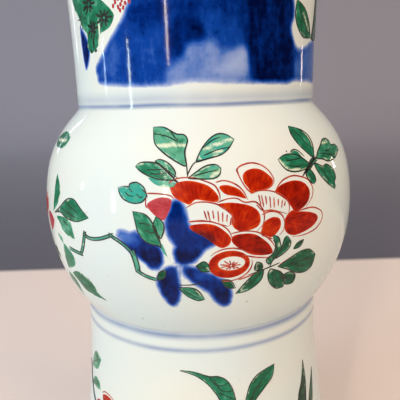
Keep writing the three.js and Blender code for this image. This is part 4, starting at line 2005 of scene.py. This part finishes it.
@dataclass
class Luting:
    """What joins the sections inside: the smoothed rolls of clay, the slips and the base disc."""

    form: VaseForm
    clay: Clay
    slip: Clay
    coil_proud: float = 2.6
    gap: float = 0.3
    coil_steps: int = 24
    dish: float = 1.2
    dish_rings: int = 12
    disc_bevel: float = 0.6

    def coil(self, node: str, join: float, seam: float) -> None:
        """Lay the roll of clay behind a seam.

        Args:
            node: The CAD node that it stands for.
            join: The outside radius at the seam.
            seam: The seam's height.
        """
        back = join - self.form.rim_width - self.gap
        half = self.form.land - self.gap
        section = []
        for step in range(self.coil_steps + 1):
            turn = math.pi * step / self.coil_steps
            section.append(Vector((back - self.coil_proud * math.sin(turn), seam + half * math.cos(turn))))
        piece = turned(node + "_smoothed", section, DISC_ROUNDS)
        piece.data.materials.append(self.clay.material())
        settle(piece, Slot.CLAY, node)

    def base(self) -> None:
        """Make the base disc, dished underneath."""
        low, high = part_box("base_disc")
        edge = high.x / MM
        bottom, top = low.z / MM, high.z / MM
        rings = self.dish_rings
        under = [
            Vector((edge * step / rings, bottom + self.dish * (1 - (step / rings) ** 2)))
            for step in range(rings + 1)
        ]
        bevel = [Vector((edge, top - self.disc_bevel)), Vector((edge - self.disc_bevel, top))]
        piece = turned("base_disc_turned", [*under, *bevel, Vector((0.0, top))], DISC_ROUNDS)
        piece.data.materials.append(self.clay.material())
        settle(piece, Slot.CLAY, "base_disc")

    def dress_slips(self) -> None:
        """Give the slips between the rims their finish."""
        material = self.slip.material()
        for node in ("base_seam_slip", "waist_seam_slip", "neck_seam_slip"):
            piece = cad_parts[node]
            piece.data.materials.clear()
            piece.data.materials.append(material)
            log.info("%s: dressed", node)

    def build(self) -> None:
        """Build the pieces and dress the slips."""
        form = self.form
        self.coil("waist_seam_coil", form.waist_join, form.waist_seam)
        self.coil("neck_seam_coil", form.neck_join, form.neck_seam)
        self.base()
        self.dress_slips()


# The studio


@dataclass(frozen=True)
class Lamp:
    """A flat soft lamp, which shows in the gloss only if it is a strip.

    Its place, what it faces and its size are in metres, and its power is in watts.
    """

    name: str
    place: tuple[float, float, float]
    target: tuple[float, float, float]
    size: tuple[float, float]
    power: float
    colour: str = "ffffff"
    in_gloss: bool = False

    def build(self) -> None:
        """Hang the lamp."""
        light = bpy.data.lights.new(self.name, "AREA")
        light.shape = "RECTANGLE"
        light.size, light.size_y = self.size
        light.energy = self.power
        light.color = ink(self.colour)[:3]
        lamp = bpy.data.objects.new(self.name, light)
        aim = Vector(self.target) - Vector(self.place)
        lamp.visible_glossy = self.in_gloss
        facing = aim.to_track_quat("-Z", "Y").to_matrix().to_4x4()
        lamp.matrix_world = Matrix.Translation(self.place) @ facing
        bpy.context.scene.collection.objects.link(lamp)


@dataclass
class Studio:
    """The plain pale floor and backdrop, the soft lamps and the camera.

    The eye and the sweep's sizes are in metres. The backdrop's edge and fades are in millimetres.
    """

    eye: Vector = field(default_factory=lambda: Vector((0.0, -0.2244, 0.2127)))
    pitch: float = 0.214
    roll: float = 0.0318
    yaw: float = -0.0027
    focal_pixels: float = 472.6
    frame_pixels: float = 400.0
    sensor: float = 36.0
    floor_colour: str = "fbe7dc"
    bounce_colour: str = "cdcfd2"
    wall_low: str = "6b6871"
    wall_left: str = "cfcfdf"
    wall_right: str = "d6cacf"
    floor_edge: tuple[float, float] = (350.0, 366.0)
    wall_fade: tuple[float, float] = (200.0, 2300.0)
    wall_lift: tuple[float, float] = (5.0, 120.0)
    wall_aside: tuple[float, float] = (-0.4, 0.4)
    wall_depth: float = 225.0
    sweep_far: float = 2.6
    sweep_rise: float = 2.4
    sweep_corner: float = 0.8
    sweep_steps: int = 12
    sweep_rounds: int = 96
    air_colour: str = "f1f2f4"
    air_strength: float = 0.35
    lamps: tuple[Lamp, ...] = (
        Lamp("window_key", (-0.85, -0.75, 0.95), (0.0, 0.0, 0.2), (0.9, 1.1), 8.5, "deedff"),
        Lamp("warm_fill", (0.85, -0.75, 0.95), (0.0, 0.0, 0.2), (0.9, 0.9), 7.9, "ffdeb6"),
        Lamp("overhead", (0.0, -0.1, 1.3), (0.0, 0.0, 0.2), (1.4, 1.4), 5.4, "ffffff"),
        *(Lamp(f"strip_{i + 1}", *strip, in_gloss=True) for i, strip in enumerate((
            ((-0.43, -1.05, 0.58), (0.0, 0.0, 0.24), (0.03, 0.62), 4.4, "fff0de"),
            ((-0.96, -0.58, 0.2), (0.0, 0.0, 0.21), (0.03, 0.23), 1.6, "e4fff6"),
            ((-1.1, -0.06, 0.28), (0.0, 0.0, 0.23), (0.014, 0.1), 0.32, "bfe8ff"),
            ((-0.80, 0.80, 0.5), (0.0, 0.0, 0.2), (0.012, 0.4), 0.24, "eadff5"),
            ((0.98, 0.45, 0.27), (0.0, 0.0, 0.23), (0.012, 0.08), 0.16, "fff0e0"),
        ))),
    )

    def build_camera(self) -> None:
        """Set the camera where the photograph was taken from."""
        camera = bpy.data.cameras.new("camera")
        camera.sensor_width = self.sensor
        camera.lens = self.focal_pixels / self.frame_pixels * self.sensor
        camera.clip_start = 0.01
        holder = bpy.data.objects.new("camera", camera)
        turn = Matrix.Rotation(self.yaw, 4, "Z") @ Matrix.Rotation(math.pi / 2 - self.pitch, 4, "X")
        holder.matrix_world = Matrix.Translation(self.eye) @ turn @ Matrix.Rotation(-self.roll, 4, "Z")
        bpy.context.scene.collection.objects.link(holder)
        bpy.context.scene.camera = holder

    def build_sweep(self) -> None:
        """Lay the floor and curve it up into a backdrop all round."""
        work = bmesh.new()
        far, corner, steps = self.sweep_far, self.sweep_corner, self.sweep_steps
        points = [work.verts.new((0.0, 0.0, 0.0)), work.verts.new((far - corner, 0.0, 0.0))]
        for step in range(1, steps + 1):
            turn = math.pi / 2 * step / steps
            points.append(work.verts.new((
                far - corner + corner * math.sin(turn), 0.0, corner * (1 - math.cos(turn)),
            )))
        points.append(work.verts.new((far, 0.0, self.sweep_rise)))
        for pair in zip(points, points[1:]):
            work.edges.new(pair)
        spun(work, self.sweep_rounds)
        bmesh.ops.recalc_face_normals(work, faces=work.faces)
        bmesh.ops.reverse_faces(work, faces=work.faces)
        for face in work.faces:
            face.smooth = True
        sweep = bake_mesh("studio_sweep", work)
        sweep.data.materials.append(self.paper())

    def paper(self) -> bpy.types.Material:
        """Colour the floor, and the backdrop by depth and side, as the camera and the gloss see them.

        Returns:
            The material, whose light on the vase is that of an even grey.
        """
        dye = Dye("studio_paper")
        place = dye.place()
        depth = dye.axis(place, "Y")
        aside = dye.axis(place, "X") / (depth.most(0.0) + self.wall_depth)
        wall = dye.mix(
            depth.rise(*self.wall_fade), self.wall_low,
            dye.mix(aside.rise(*self.wall_aside), self.wall_left, self.wall_right),
        )
        past_edge = depth.rise(*self.floor_edge).most(dye.axis(place, "Z").rise(*self.wall_lift))
        camera, gloss, glass = (
            dye.node("ShaderNodeLightPath", {}, out=f"Is {ray} Ray")
            for ray in ("Camera", "Glossy", "Transmission")
        )
        seen = dye.mix(past_edge, self.floor_colour, wall)
        paper = dye.mix(camera.most(gloss).most(glass), self.bounce_colour, seen)
        return dye.finish(Base_Color=paper, Roughness=0.9, IOR=1.3)

    def build_world(self) -> None:
        """Fill the room with an even pale light."""
        world = bpy.data.worlds.new("room")
        world.use_nodes = True
        background = world.node_tree.nodes["Background"]
        background.inputs["Color"].default_value = ink(self.air_colour)
        background.inputs["Strength"].default_value = self.air_strength
        bpy.context.scene.world = world

    def build(self) -> None:
        """Set up the studio."""
        bpy.context.scene.view_settings.view_transform = "Standard"
        self.build_camera()
        self.build_sweep()
        self.build_world()
        for lamp in self.lamps:
            lamp.build()


def main() -> None:
    """Build the vase and its studio, and report each piece."""
    logging.basicConfig(level=logging.INFO, format="%(name)s %(message)s")
    form = VaseForm.from_frame()
    skin = Skin(form)
    clay = Clay("bare_porcelain", "d8ccb8", "b9a78d")
    slip = Clay("slip_in_the_joint", "dccfba", "c2b193", grain=0.5, depth=0.03)
    # The first waist ring is the cobalt line under the seam. The second is painted shade: a thin dark line
    # right on the waist seam that stands in for the shadow in the seam's groove.
    waist_line_and_seam_shade = Ring(form.waist_seam - 0.6, 0.9, 2.0, 0.85), Ring(form.waist_seam, 0.15, 0.4, 0.95)
    Studio().build()
    foot_rings = (
        *waist_line_and_seam_shade, Ring(115.1, 0.7, 1.4, 0.7), Ring(14.5, 0.8, 0.9, 0.7), Ring(11.0, 0.5, 0.8, 0.55),
    )
    neck_line, smear = Ring(210.3, 0.7, 1.1, 0.85), Ring(212.6, 1.8, 2.6, 0.34)
    neck_rings = (neck_line, smear, Ring(386.0, 0.8, 0.9, 0.7), Ring(382.0, 0.5, 0.8, 0.55))
    Foot(form, "foot", Glaze("foot_glaze", foot_rings), clay, skin, FOOT_PAINTING).build()
    Bulb(form, "bulb", Glaze("bulb_glaze", (*waist_line_and_seam_shade, neck_line)), clay, skin, BULB_PAINTING).build()
    Neck(form, "neck", Glaze("neck_glaze", neck_rings), clay, skin, NECK_PAINTING).build()
    Luting(form, clay, slip).build()


if __name__ == "__main__":
    main()
